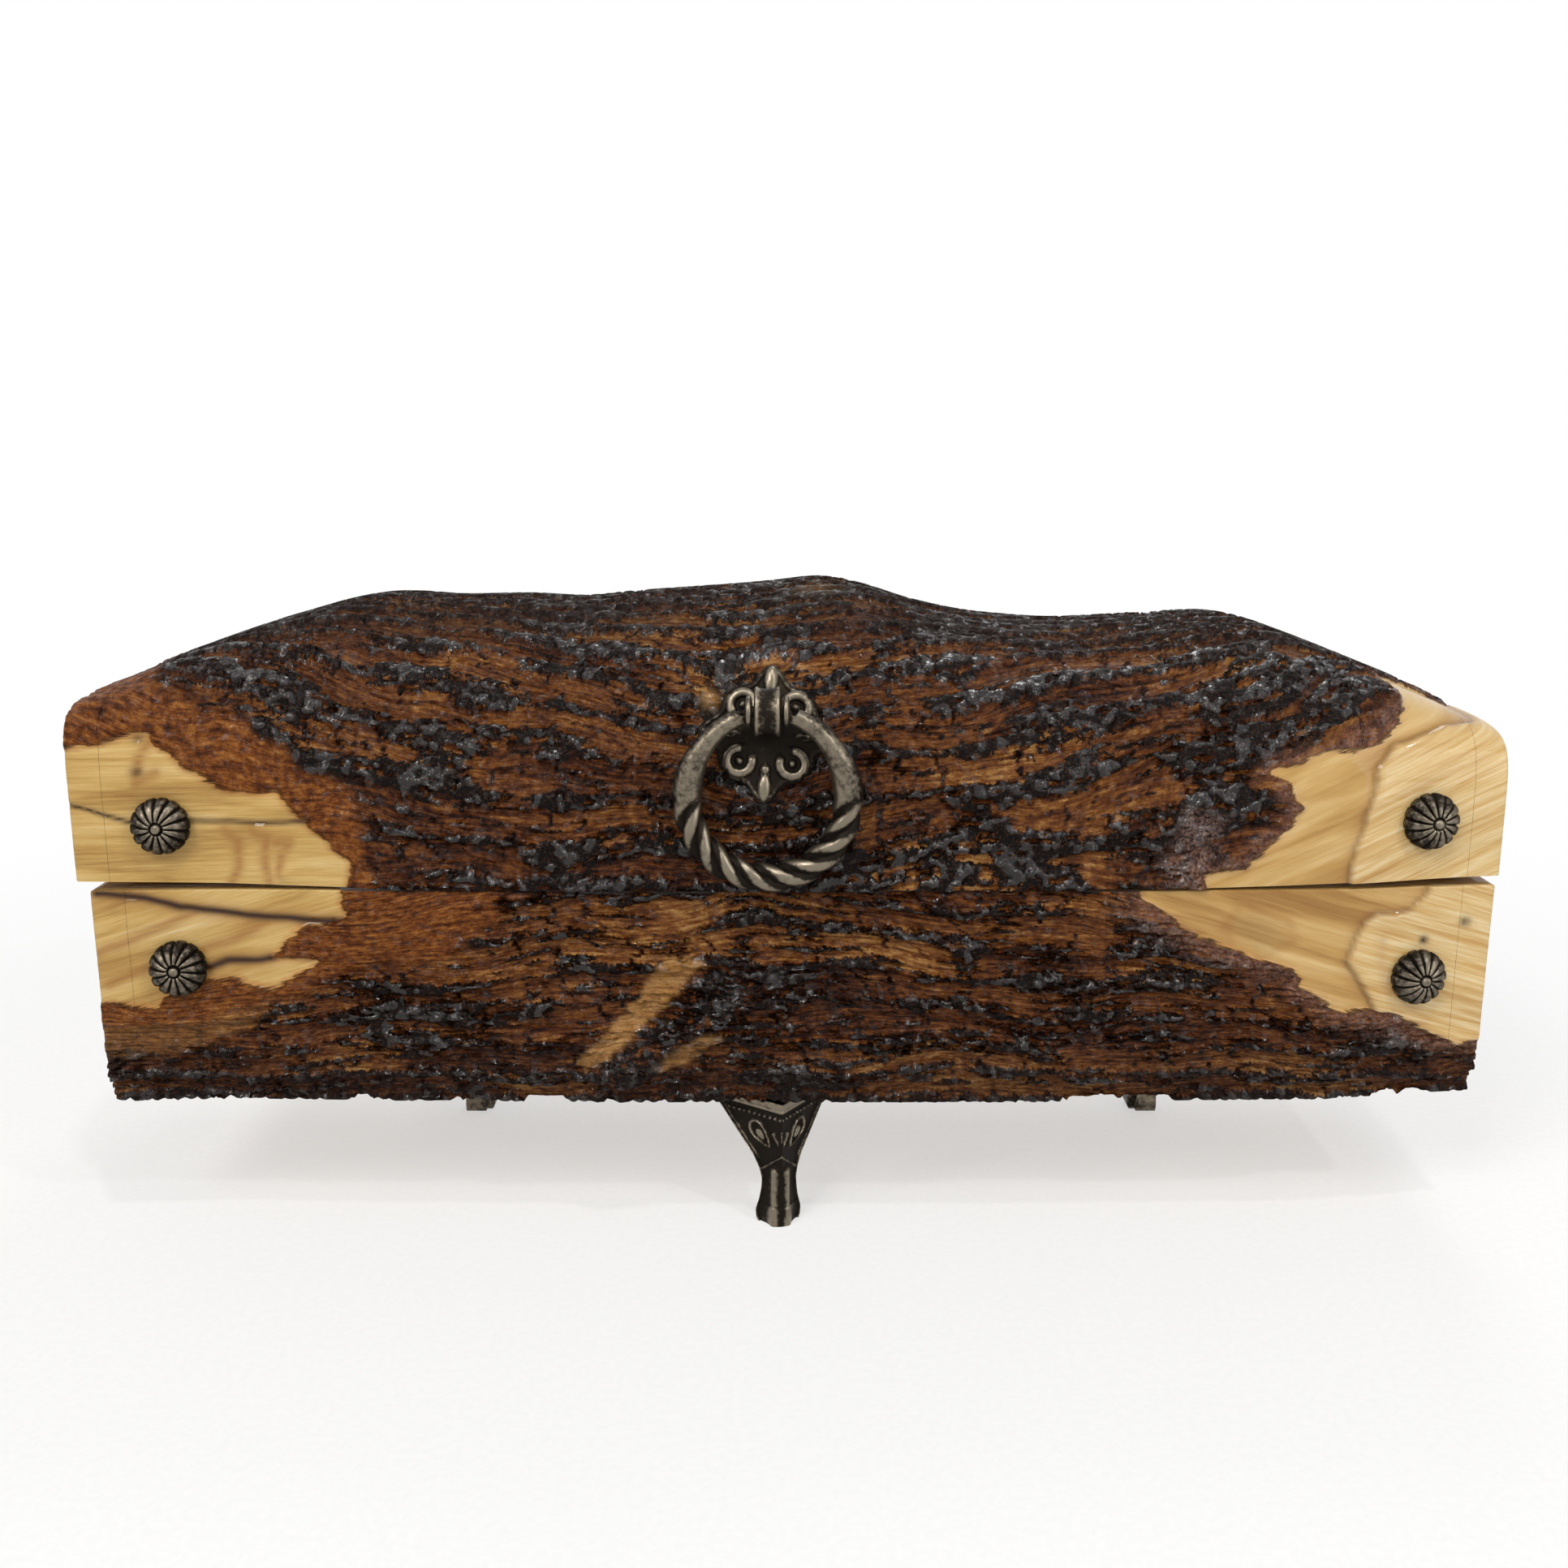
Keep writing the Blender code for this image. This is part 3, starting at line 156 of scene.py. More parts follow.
# Outlines of smooth bark, of inner bark that shows, of mauve bark and of tan wood round the stub
smooth_bark = ((-140, 50), (-121, 50), (-108, 53), (-100, 49), (-104, 43), (-118, 38), (-140, 37))
lid_inner_bark = (
    (-140, 60), (-140, 112), (-124, 111), (-113, 107), (-103, 103), (-92, 96), (-84, 89.5), (-80.5, 82),
    (-80, 60),
)
base_inner_bark = (
    (-140, 80), (-140, 43.5), (-125, 43.7), (-110, 45.5), (-97, 49), (-88, 53), (-75, 57), (-62, 60),
    (-55, 64), (-56, 80),
)
lid_mauve = ((70, 60), (69, 78), (74, 86), (80, 84), (79, 76), (81, 60))
base_mauve = (
    (60, 66), (76, 58), (94, 52), (104, 43), (121, 39), (134, 34), (136, 40), (112, 50), (90, 60), (66, 72),
)
tan_wedge = ((-16.6, 57), (-24.5, 57.2), (-31.5, 47.5), (-41.5, 36.2), (-40, 34.8), (-30, 42.2), (-21.5, 51))
tan_patch = ((-24, 38.2), (-17, 43), (-13.5, 42.2), (-20, 36.4), (-25.5, 35.2))
stub_line = ((-8.7, 51.0), (-34, 34.4))

# Lines of the cracks and of the brown stains in the bare wood
lid_cracks = (((-134.6, 87.1), (-123.4, 83.5), (-111.8, 83.7), (-90.4, 83.4)),)
lid_stains = (
    ((-106.5, 82.3), (-104, 80), (-104.5, 75), (-106, 71)),
    ((-101.5, 82), (-98.6, 80.6), (-99.4, 76), (-99, 71)),
    ((-97, 79.6), (-94, 80), (-96, 77.5), (-96.5, 74)),
    ((-118, 101), (-121.9, 95.5), (-121.9, 91.5), (-118.6, 93)),
)
base_stains = (
    ((-133, 58), (-124, 61.5), (-113, 66)), ((-131, 51.5), (-121, 56), (-108, 60), (-100, 64)),
    ((84, 66.4), (81.9, 63.4), (84, 58.9), (90.5, 57.4), (95, 60), (93.4, 65), (86, 66.8)),
    ((112, 60), (113, 52), (120, 46)),
)
base_cracks = (
    ((-131.5, 69.6), (-122.5, 69.1), (-115.8, 67.1), (-103.5, 65.3), (-84.6, 64.2), (-76, 63.5)),
    ((-99.6, 56.9), (-108, 56.2), (-112, 55.0)),
)


def smooth(value):
    """An even rise from 0 to 1, level at both ends."""
    value = np.clip(value, 0.0, 1.0)
    return value * value * (3 - 2 * value)


def along_table(table, place):
    """A smooth curve through a table of places and shares."""
    xs, vs = np.array(table).T
    place = np.clip(place, xs[0], xs[-1])
    k = np.clip(np.searchsorted(xs, place) - 1, 0, len(xs) - 2)
    before, after = np.maximum(k - 1, 0), np.minimum(k + 2, len(xs) - 1)
    run = xs[k + 1] - xs[k]
    t = (place - xs[k]) / run
    m1 = (vs[k + 1] - vs[before]) / np.maximum(xs[k + 1] - xs[before], run) * run
    m2 = (vs[after] - vs[k]) / np.maximum(xs[after] - xs[k], run) * run
    return (
        (2 * t ** 3 - 3 * t ** 2 + 1) * vs[k] + (t ** 3 - 2 * t ** 2 + t) * m1
        + (3 * t ** 2 - 2 * t ** 3) * vs[k + 1] + (t ** 3 - t ** 2) * m2
    )


def crest_z(x):
    """Height of the lid's crest."""
    return lid_z + lid_height * along_table(crest_table, x / half_lid)


def rim_z(x):
    """Height of the lid's lower rim, which rises a little toward both ends."""
    return lid_z + 1.4 * smooth(np.abs(x) / half_lid * 2 - 1)


def squareness(x):
    """How square the lid's front is: a round section in the middle, a boxier one at both ends."""
    across = x / half_lid
    return 3.2 + 6 * np.maximum(0, -across) ** 8 + 5 * np.maximum(0, across) ** 8


def face_setback(x):
    """How far behind the log's front its face lies: the face is bowed, and stands back at the right end."""
    left, right = smooth((-x - half_lid + 34) / 34), smooth((x - half_lid + 34) / 34)
    return 2.8 * right - 2.2 * left - 3 * (1 - (x / half_lid) ** 2)


def scatter(ix, iy, seed):
    """A repeatable number from 0 to 1 for each whole place."""
    value = np.sin(ix * 127.1 + iy * 311.7 + seed * 74.7) * 43758.5453
    return value - np.floor(value)


def noise(u, v, seed):
    """Smooth noise from 0 to 1, with one random value for each whole place."""
    iu, iv = np.floor(u), np.floor(v)
    su, sv = smooth(u - iu), smooth(v - iv)
    low = scatter(iu, iv, seed) * (1 - su) + scatter(iu + 1, iv, seed) * su
    high = scatter(iu, iv + 1, seed) * (1 - su) + scatter(iu + 1, iv + 1, seed) * su
    return low * (1 - sv) + high * sv


def rough(u, v, seed, octaves=4):
    """Noise in several sizes, from -1 to 1."""
    total, size, weight = 0.0, 1.0, 0.0
    for k in range(octaves):
        total = total + size * (noise(u * 2 ** k, v * 2 ** k, seed + 5 * k) * 2 - 1)
        weight += size
        size *= 0.55
    return total / weight


def cells(u, v, seed):
    """Distance to the nearest of scattered points, one in each square."""
    iu, iv = np.floor(u), np.floor(v)
    best = np.full(np.shape(u), 9.0)
    for du in (-1, 0, 1):
        for dv in (-1, 0, 1):
            pu = iu + du + 0.15 + 0.7 * scatter(iu + du, iv + dv, seed)
            pv = iv + dv + 0.15 + 0.7 * scatter(iu + du, iv + dv, seed + 31)
            best = np.minimum(best, np.hypot(u - pu, v - pv))
    return best


def line_distance(x, z, line):
    """Distance to a line of straight runs."""
    best = np.full(np.shape(x), 1e3)
    for (ax, az), (bx, bz) in zip(line, line[1:]):
        length = (bx - ax) ** 2 + (bz - az) ** 2
        t = np.clip(((x - ax) * (bx - ax) + (z - az) * (bz - az)) / length, 0, 1)
        best = np.minimum(best, np.hypot(x - ax - t * (bx - ax), z - az - t * (bz - az)))
    return best


def inside(x, z, outline):
    """Distance to an outline, above zero inside it."""
    within = np.zeros(np.shape(x), bool)
    for (ax, az), (bx, bz) in zip(outline, outline[1:] + outline[:1]):
        if az != bz:
            cross = ((az > z) != (bz > z)) & (x < (bx - ax) * (z - az) / (bz - az) + ax)
            within ^= cross
    far = line_distance(x, z, outline + outline[:1])
    return np.where(within, far, -far)


def mound(far, width=1.0, power=2):
    """A soft mound: 1 at no distance, and next to nothing past twice its width."""
    return np.exp(-(far / width) ** power)


def bark_flow(x, z, v, seed, in_lid):
    """Height across the bark's rows, which part at the fork, and the distance from the fork."""
    away = np.hypot(x - fork_x, fork_width) - fork_width
    if in_lid:
        along = v
        h = v - 0.25 * away * np.clip(v / 50, 0, 1)
    else:
        along = z - floor_z
        h = along + 0.14 * away * np.clip(along / 43.6, 0, 1)
    h = h + 0.9 * np.sin(2 * math.pi * x / 53 + along / 8.6)
    h = h + 0.4 * np.sin(2 * math.pi * x / 29 - along / 6.5)
    return h + 0.5 * rough(x / 11, v / 7, seed + 1, 4), away


def bark_rows(x, v, h, away, seed, in_lid):
    """Relief of the bark: brown plates that run in rows, with black lumps between them."""
    least, most = (-0.26, 0.78) if in_lid else (-0.06, 0.86)
    slow = np.clip(away / 95, 0, 1) if in_lid else np.zeros(np.shape(x))

    def drawn(length, height, octaves, salt):
        """Noise drawn out along the rows, as fine across them far from the fork as near it."""
        near = rough(x / length, h / height, seed + salt, octaves)
        far = rough(x / length, h * 1.8 / height, seed + salt, octaves)
        return near + (far - near) * slow

    row = np.floor(h / row_pitch)
    cell = h / row_pitch - row
    width = np.clip(1.75 * noise(x / 15 + 13.7 * row, row * 3.1, seed + 2) + least, -0.3, most)
    width = width + 0.42 * drawn(3.1, 1.5, 4, 3)
    across = np.abs(2 * cell - 1)
    plate = smooth((width - across + 0.9 * drawn(8, 1.7, 4, 20)) / 0.30 + 0.5)
    plate = np.maximum(plate, 0.9 * smooth((drawn(4.5, 1.0, 3, 21) - 0.16) / 0.12))
    plate = plate * (1 - 0.85 * smooth((drawn(8, 0.9, 3, 22) - 0.24) / 0.10))
    lumps = 1 - np.clip(1.3 * cells(x / 2.2, v / 1.6, seed + 4), 0, 1) ** 2
    small = 1 - np.clip(1.25 * cells(x / 1.1, v / 0.85, seed + 5), 0, 1) ** 2
    streak = rough(x / 7, h / 0.8, seed + 6, 3)
    split = x / 7.0 + 4 * scatter(row, 0 * row, seed + 7) + 0.55 * rough(x / 6, h / 2.4, seed + 8, 4)
    split = split + 0.05 * h
    split = smooth(1.3 - np.abs(split - np.floor(split) - 0.5) / 0.05)
    split = split * smooth(noise(x / 6, h / 4, seed + 9) * 4 - 1.5)
    crown = 1 - np.clip(across / np.maximum(width, 0.2), 0, 1) ** 2
    height = (1 - plate) * (0.42 + 0.90 * lumps + 0.30 * small) + plate * (0.20 * streak + 0.16 * small)
    height = height - bark_depth + plate * 0.30 * crown - 0.55 * plate * split
    height = height + 0.30 * np.cos(2 * math.pi * cell) + 0.2 * (rough(x / 14, v / 11, seed + 10, 2) - 0.3)
    tone = 0.5 + 0.55 * (noise(x / 26 + 3.3 * row, row * 1.7, seed + 11) - 0.5) + 0.28 * streak
    tone = tone - 0.7 * split - 0.25 * (1 - lumps) * (1 - plate)
    return {
        "height": height, "plate": plate, "small": small, "streak": streak, "split": split, "tone": tone,
    }


def lid_marks(x, y, z, v, jag, bark):
    """The fork's hollow above the pull, the knots and the mauve bark of the lid."""
    hollow = np.hypot(x + 12.2, (z - 110.5) * 0.8) / 4.2
    bark["height"] = bark["height"] - mound(hollow) * (1.3 + 0.9 * bark["small"])
    bark["plate"] = bark["plate"] * (1 - 0.8 * mound(hollow, 1.1, 4))
    orange_knot = mound(np.hypot(x + 15.2, z - 107.5), 1.7)
    crest_knot = mound(np.hypot(x - 5, (y - crest_y + 14) * 0.6), 4.0)
    crack_and_step_shade = np.zeros(np.shape(x))
    for knot_x, knot_z in ((-121.5, 99.9), (-121.9, 93.3)):
        crack_and_step_shade = np.maximum(crack_and_step_shade, 0.7 * mound(np.hypot((x - knot_x) * 0.8, z - knot_z)))
    return {
        "tan": np.maximum(1.3 * orange_knot, 0.6 * crest_knot),
        "mauve": smooth(inside(x, z, lid_mauve) / 4 + 0.5 + jag * 0.3),
        "crack_and_step_shade": crack_and_step_shade,
        # Painted sheen: the lid's top gets a grey cast, as the varnish's sheen would give it; the same share
        # also thins and roughens the varnish there.
        "grey_and_dull": smooth((v - 46) / 16) * (1 - mound(hollow, 2.4)),
    }


def base_marks(x, z, jag, bark):
    """The branch stub with its knot and tan wood, the smooth bark and the dents of the base."""
    calm = smooth(inside(x, z, smooth_bark) / 3 + 0.5 + jag * 0.2)
    stub = line_distance(x, z, stub_line)
    knot = np.hypot(x + 14.1, z - 51.3)
    height = bark["height"] * (1 - 0.7 * calm) - 1.0 * calm
    height = height + 2.6 * mound(stub, 4.6) + 0.8 * mound(knot, 3.2, 4)
    plate = np.maximum(bark["plate"], calm)
    plate = plate * (1 - smooth(2.2 - stub / 1.9)) * smooth(knot / 1.2 - 3)
    flecks = smooth(0.5 + 1.7 * rough(x / 1.5, z / 1.5, 95, 3)) * mound(stub, 3.2) * (knot > 4.2)
    bark["plate"] = np.maximum(plate, 0.75 * flecks)
    tan = smooth((inside(x, z, tan_wedge) + jag) / 1.1 + 0.5) * smooth(stub / 2 - 0.6)
    tan = np.maximum(tan, 0.8 * smooth(inside(x, z, tan_patch) / 2 + 0.5 + jag * 0.3))
    dent = np.hypot((x - 88.6) / 6.2, (z - 62.1 + 0.3 * (x - 88.6)) / 3.9)
    bark["height"] = height - 1.0 * smooth(1.3 - dent)
    hole = mound(np.hypot(x - 120.9, z - 59.8), 0.9)
    wood_knot = 0.8 * mound(np.hypot(x - 129.0, z - 63.2), 1.1)
    return {
        "tan": np.maximum(tan, 0.25 * calm),
        "mauve": 0.8 * smooth(inside(x, z, base_mauve) / 4 + 0.5 + jag * 0.3),
        "crack_and_step_shade": np.maximum(np.maximum(0.22 * smooth(1.25 - dent), hole), wood_knot),
        # Greyer in colour and duller in finish toward the bottom of the base.
        "grey_and_dull": 0.6 * smooth((43 - z) / 12),
    }


def wood_marks(x, z, crack_and_step_shade, seed, in_lid):
    """Cracks and brown stains of the bare wood."""
    stain_and_step_shade = np.zeros(np.shape(x))
    width = 0.42 if in_lid else 0.8
    for line in lid_cracks if in_lid else base_cracks:
        wander = 0.5 * rough(x / 6, z / 6, seed + 13, 2)
        far = line_distance(x, z + wander, line)
        crack_and_step_shade = np.maximum(crack_and_step_shade, mound(far, width))
        stain_and_step_shade = np.maximum(stain_and_step_shade, 0.8 * mound(far, 1.9) * (not in_lid))
    for line in lid_stains if in_lid else base_stains:
        wander = 0.9 * rough(x / 5, z / 5, seed + 16, 2)
        stain_and_step_shade = np.maximum(stain_and_step_shade, mound(line_distance(x + wander, z + wander, line), 1.1))
    return crack_and_step_shade, stain_and_step_shade


def grain_places(x, z, in_lid):
    """Places along and across the bare wood's grain, which slopes another way at each end."""
    left, right = (0.02, 0.42) if in_lid else (0.30, -0.30)
    angle = np.where(x < 0, left, right)
    along = x * np.cos(angle) + z * np.sin(angle)
    across = z * np.cos(angle) - x * np.sin(angle)
    return np.stack([along, across, 0 * x], -1)


def bark_fields(x, y, z, v, in_lid):
    """Relief and surface values of bark and bare wood, from the place and the length along the section."""
    if in_lid:
        seed, patches = lid_seed, (lid_left_patch, lid_right_patch)
        plates, inner_bark = lid_plate, lid_inner_bark
        bare_depth, highest = 30, -0.15
    else:
        seed, patches = base_seed, (base_left_patch, base_right_patch)
        plates, inner_bark = base_plate, base_inner_bark
        bare_depth, highest = 26, 2.4
    h, away = bark_flow(x, z, v, seed, in_lid)
    bark = bark_rows(x, v, h, away, seed, in_lid)
    jag = 1.3 * rough(x / 5, z / 1.6, seed + 12, 4)
    marks = lid_marks(x, y, z, v, jag, bark) if in_lid else base_marks(x, z, jag, bark)
    bare = np.maximum(inside(x, z, patches[0]), inside(x, z, patches[1])) + jag
    bare = np.minimum(bare, front + bare_depth - y)
    stray = 3.5 * rough(x / 9, h / 4, seed + 15, 3)
    fringe = smooth(1.1 + (bare + 0.6 * stray) / 3.6) * (x > 40)
    inner = np.maximum(smooth((inside(x, z, inner_bark) + stray) / 3 + 0.5), 0.5 * fringe)
    height = bark["height"] * (1 - 0.75 * inner) + (0.25 * bark["streak"] - 1.0) * 0.75 * inner
    crack_and_step_shade, stain_and_step_shade = wood_marks(x, z, marks["crack_and_step_shade"], seed, in_lid)
    raised = inside(x, z, plates) + 0.4 * jag
    step = smooth(raised + 0.5)
    # Painted shade: a dark line and a brown band just outside the raised plates, at the foot of their step,
    # where shade falls; part of it is the brown tone of the carved edge.
    edge = mound(raised + 0.35, 0.5)
    stain_and_step_shade = np.maximum(stain_and_step_shade, 0.9 * mound(raised + 0.7, 1.3))
    share = smooth(bare / 1.3 + 0.5)
    wood = 0.95 * step - bark_depth + 0.10 * rough(x / 16, z / 2.2, seed + 14, 3) - 0.5 * crack_and_step_shade
    if in_lid:
        wood = wood + 0.7 * mound(np.hypot(x + 95.7, z - 73.4), 1.4)
    height = height * (1 - share) + wood * share
    ridge = np.maximum(1 - bark["plate"], 0.7 * bark["split"] * bark["plate"])
    return {
        "height": np.minimum(height, highest),
        "ridge": ridge * (1 - 0.9 * inner),
        "inner": inner,
        "tone": np.clip(bark["tone"], 0, 1),
        "bare": np.clip(bare / 6, -1, 1),
        # This share also carries the painted shade at the foot of the plates' step.
        "crack_and_step_shade": np.clip(crack_and_step_shade + 0.35 * edge * share, 0, 1),
        "carved": step * (x > 0),
        "right": smooth((x - 30) / 20),
        "stain_and_step_shade": stain_and_step_shade,
        "tan": np.clip(marks["tan"], 0, 1),
        "mauve": np.clip(np.maximum(marks["mauve"], 0.9 * fringe), 0, 1),
        "grey_and_dull": marks["grey_and_dull"],
        "bark_flow": np.stack([x, h, 0 * x], -1),
        "bark_place": np.stack([x, v + 200 * in_lid, 0 * x], -1),
        "wood_flow": grain_places(x, z, in_lid),
    }


def resample(ys, zs, count):
    """The same line through count evenly spaced points."""
    run = np.concatenate([[0], np.cumsum(np.hypot(np.diff(ys), np.diff(zs)))])
    want = np.linspace(0, run[-1], count)
    return np.interp(want, run, ys), np.interp(want, run, zs)


def lid_shell_line(x, front_count, top_count):
    """The lid's outside from the front rim over the crest to the back edge, before its relief."""
    turn = np.linspace(0, math.pi / 2, 500)
    n, crest = float(squareness(x)), float(crest_z(x))
    face = front + float(face_setback(x))
    y = crest_y - (crest_y - face) * np.cos(turn) ** (2 / n)
    z = np.maximum(float(rim_z(x)), lid_z + (crest - lid_z) * np.sin(turn) ** (2 / n))
    front_y, front_z = resample(y, z, front_count)
    t = np.linspace(0, 1, top_count + 1)[1:]
    fall = 2.8 * (1 - (x / half_lid) ** 2)
    top_y = crest_y + (bark_end - crest_y) * t
    return np.concatenate([front_y, top_y]), np.concatenate([front_z, crest - fall * t ** 2])


def base_shell_line(x, front_count, under_count):
    """The base's outside from the front rim down and under to the back edge, before its relief."""
    z = np.linspace(seam_z - 0.15, floor_z, 400)
    roll = np.maximum(0, floor_z + 13 - z) / 13
    y = front + float(face_setback(x)) + 4 * roll ** 2
    front_y, front_z = resample(y, z, front_count)
    t = np.linspace(0, 1, under_count + 1)[1:] ** 1.3
    under_y = front_y[-1] + (bark_end - front_y[-1]) * t
    return np.concatenate([front_y, under_y]), np.concatenate([front_z, floor_z + 0 * t])


def seat_depth():
    """How far behind the log's front the middle of the pull's flat seat lies."""
    lift = (pull_z - lid_z) / (float(crest_z(pull_x)) - lid_z)
    bend = float(squareness(pull_x))
    reach = (crest_depth - float(face_setback(pull_x))) * (1 - lift ** bend) ** (1 / bend)
    return crest_depth - reach + seat_sink


seat_setback = seat_depth()


def flat_seat(x, y, z):
    """The lid's outside with the flat seat of the pull cut into it."""
    away = np.hypot(x - pull_x, z - pull_z) / seat_radius
    plane = front + seat_setback + (z - pull_z) * math.tan(pull_tilt)
    near = (away < 1) & (y < crest_y - 8)
    return np.where(near, plane + (y - plane) * smooth(away * 4 - 3), y)


def shell(xs, in_lid, columns):
    """The outside of one half at each station: the places and fields of its bark rows."""
    line = lid_shell_line if in_lid else base_shell_line
    rows = [line(x, *columns) for x in xs]
    y, z = np.array([row[0] for row in rows]), np.array([row[1] for row in rows])
    x = np.broadcast_to(xs[:, None], y.shape)
    run = np.cumsum(np.hypot(np.diff(y), np.diff(z)), axis=1)
    v = np.concatenate([np.zeros((len(xs), 1)), run], axis=1)
    fields = bark_fields(x, y, z, v, in_lid)
    dy, dz = np.gradient(y, axis=1), np.gradient(z, axis=1)
    size = np.hypot(dy, dz)
    way = 1 if in_lid else -1
    height = fields.pop("height")
    sawn = np.zeros(np.shape(x))
    if not in_lid:
        sawn = smooth((y - front - 8 - 2 * rough(x / 9, y / 5, 91, 2)) / 2) * (z < floor_z + 0.5)
        height = np.where(z < floor_z + 0.01, np.minimum(height, -0.1), height)
        height = height * (1 - sawn)
    y = y - way * dz / size * height
    z = z + way * dy / size * height
    if in_lid:
        y = flat_seat(x, y, z)
    fields["sawn"] = sawn
    return np.stack([x, y, z], -1), fields


def trough_line(x, in_lid):
    """The hollow from its back rim round to its front rim."""
    if in_lid:
        low, high, bottom = front + lid_front_wall, back - lid_back_wall, float(crest_z(x)) - lid_roof
        rim, way, corner = float(rim_z(x)), -1, lid_round
    else:
        low, high, bottom = front + base_front_wall, back - base_back_wall, floor_z + base_floor
        rim, way, corner = seam_z, 1, base_round
    turn = np.linspace(0, math.pi / 2, 9)
    short, long = corner * (1 - np.cos(turn)), corner * (1 - np.sin(turn))
    y = np.concatenate([[high - 0.01], high - short, low + long, [low + 0.01]])
    z = np.concatenate([[rim - way * 0.4], bottom + way * long, bottom + way * short, [rim - way * 0.4]])
    return resample(y, z, hollow_count)


def sawn_rows(xs, outer, in_lid, hollow):
    """Rows that close the section behind the bark: back, rims and hollow, or a plain rim on a slice."""
    made = []
    way = 1 if in_lid else -1
    for k, x in enumerate(xs):
        first, last = outer[k, 0], outer[k, -1]
        rim = float(rim_z(x)) if in_lid else seam_z
        ys = [np.full(back_count, back)]
        zs = [np.linspace(last[2] - way * 0.5, rim + way * 0.5, back_count)]
        if hollow:
            hollow_y, hollow_z = trough_line(x, in_lid)
            ys.append(np.linspace(bark_end, hollow_y[0] + 0.3, back_rim_count))
            ys.append(hollow_y)
            ys.append(np.linspace(hollow_y[-1] - 0.3, first[1] + 0.15, front_rim_count))
            zs += [np.full(back_rim_count, rim), hollow_z, np.full(front_rim_count, rim)]
        else:
            count = back_rim_count + hollow_count + front_rim_count
            ys.append(np.linspace(bark_end, first[1] + 0.15, count))
            zs.append(np.full(count, rim))
        y, z = np.concatenate(ys), np.concatenate(zs)
        made.append(np.stack([np.full(len(y), x), y, z], -1))
    return np.array(made)


def add_values(obj, fields):
    """Stores numbers or directions with the vertices, for the materials to read."""
    for name, values in fields.items():
        values = np.ascontiguousarray(values, np.float32)
        if values.shape[-1] == 3 and values.ndim == 3:
            layer = obj.data.attributes.new(name, "FLOAT_VECTOR", "POINT")
            layer.data.foreach_set("vector", values.reshape(-1))
        else:
            layer = obj.data.attributes.new(name, "FLOAT", "POINT")
            layer.data.foreach_set("value", values.reshape(-1))


def grid_piece(name, places):
    """A grid whose points go to the given places, in millimetres."""
    rows, columns = places.shape[:2]
    bpy.ops.object.select_all(action="DESELECT")
    bpy.ops.mesh.primitive_grid_add(x_subdivisions=columns - 1, y_subdivisions=rows - 1, size=1)
    obj = bpy.context.object
    obj.name = obj.data.name = name
    if len(obj.data.vertices) != rows * columns:
        raise RuntimeError(name + " has an unexpected grid")
    obj.data.vertices.foreach_set("co", np.ascontiguousarray(places * millimetre, np.float32).reshape(-1))
    return obj


def close_piece(obj, coat, angle=40, body=None, stands_for=()):
    """Merges seams, closes what is open, turns faces out and puts the piece on its body."""
    bpy.ops.object.select_all(action="DESELECT")
    obj.select_set(True)
    bpy.context.view_layer.objects.active = obj
    bpy.ops.object.mode_set(mode="EDIT")
    bpy.ops.mesh.select_all(action="SELECT")
    bpy.ops.mesh.remove_doubles(threshold=0.000002)
    bpy.ops.mesh.fill_holes(sides=0)
    bpy.ops.mesh.select_all(action="SELECT")
    bpy.ops.mesh.normals_make_consistent(inside=False)
    bpy.ops.object.mode_set(mode="OBJECT")
    bpy.ops.object.shade_smooth_by_angle(angle=math.radians(angle))
    obj.data.materials.clear()
    obj.data.materials.append(coat)
    if body:
        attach(obj, body)
    if stands_for:
        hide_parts(*stands_for)
    return obj


def joined_fields(fields, extra):
    """Fields of the bark rows carried on over the sawn rows."""
    whole = {}
    for name, values in fields.items():
        if values.ndim == 3:
            tail = np.repeat(values[:, -1:, :], extra, axis=1)
        else:
            tail = np.full((len(values), extra), 1.0 if name == "sawn" else 0.0)
        whole[name] = np.concatenate([values, tail], axis=1)
        whole[name][:, -1] = values[:, 0]
    return whole


def closed_round(array):
    """The array with its first row repeated at the end, so that the section closes."""
    return np.concatenate([array, array[:, :1]], axis=1)


def log_form(in_lid):
    """Middle and half length of one half of the log, and its vertices across bark and side."""
    return (0, half_lid, lid_columns) if in_lid else (base_offset, half_base, base_columns)


def log_piece(name, in_lid):
    """One hollowed half of the log between its end slices."""
    middle, half, columns = log_form(in_lid)
    reach = half - slice_width - glue_gap
    xs = np.linspace(middle - reach, middle + reach, stations)
    outer, fields = shell(xs, in_lid, columns)
    rest = sawn_rows(xs, outer, in_lid, True)
    fields = joined_fields(fields, rest.shape[1])
    places = closed_round(np.concatenate([outer, rest], axis=1))
    obj = grid_piece(name, places)
    add_values(obj, {key: closed_round(value) for key, value in fields.items()})
    return obj


def slice_places(outline, centre):
    """A slice from its closed outlines: a glued face, the bark with an eased edge, and rings of sawn wood."""
    for k, inset in ((-1, 0.7), (-2, 0.22)):
        offset = outline[k, :, 1:] - centre[1:]
        outline[k, :, 1:] -= offset / np.linalg.norm(offset, axis=-1, keepdims=True) * inset
    face = []
    for share in face_shares:
        ring = outline[-1].copy()
        ring[:, 1:] = centre[1:] + (ring[:, 1:] - centre[1:]) * share
        face.append(ring)
    glued = outline[0].copy()
    glued[:, 1:] = centre[1:]
    return np.concatenate([glued[None], outline, np.array(face)])


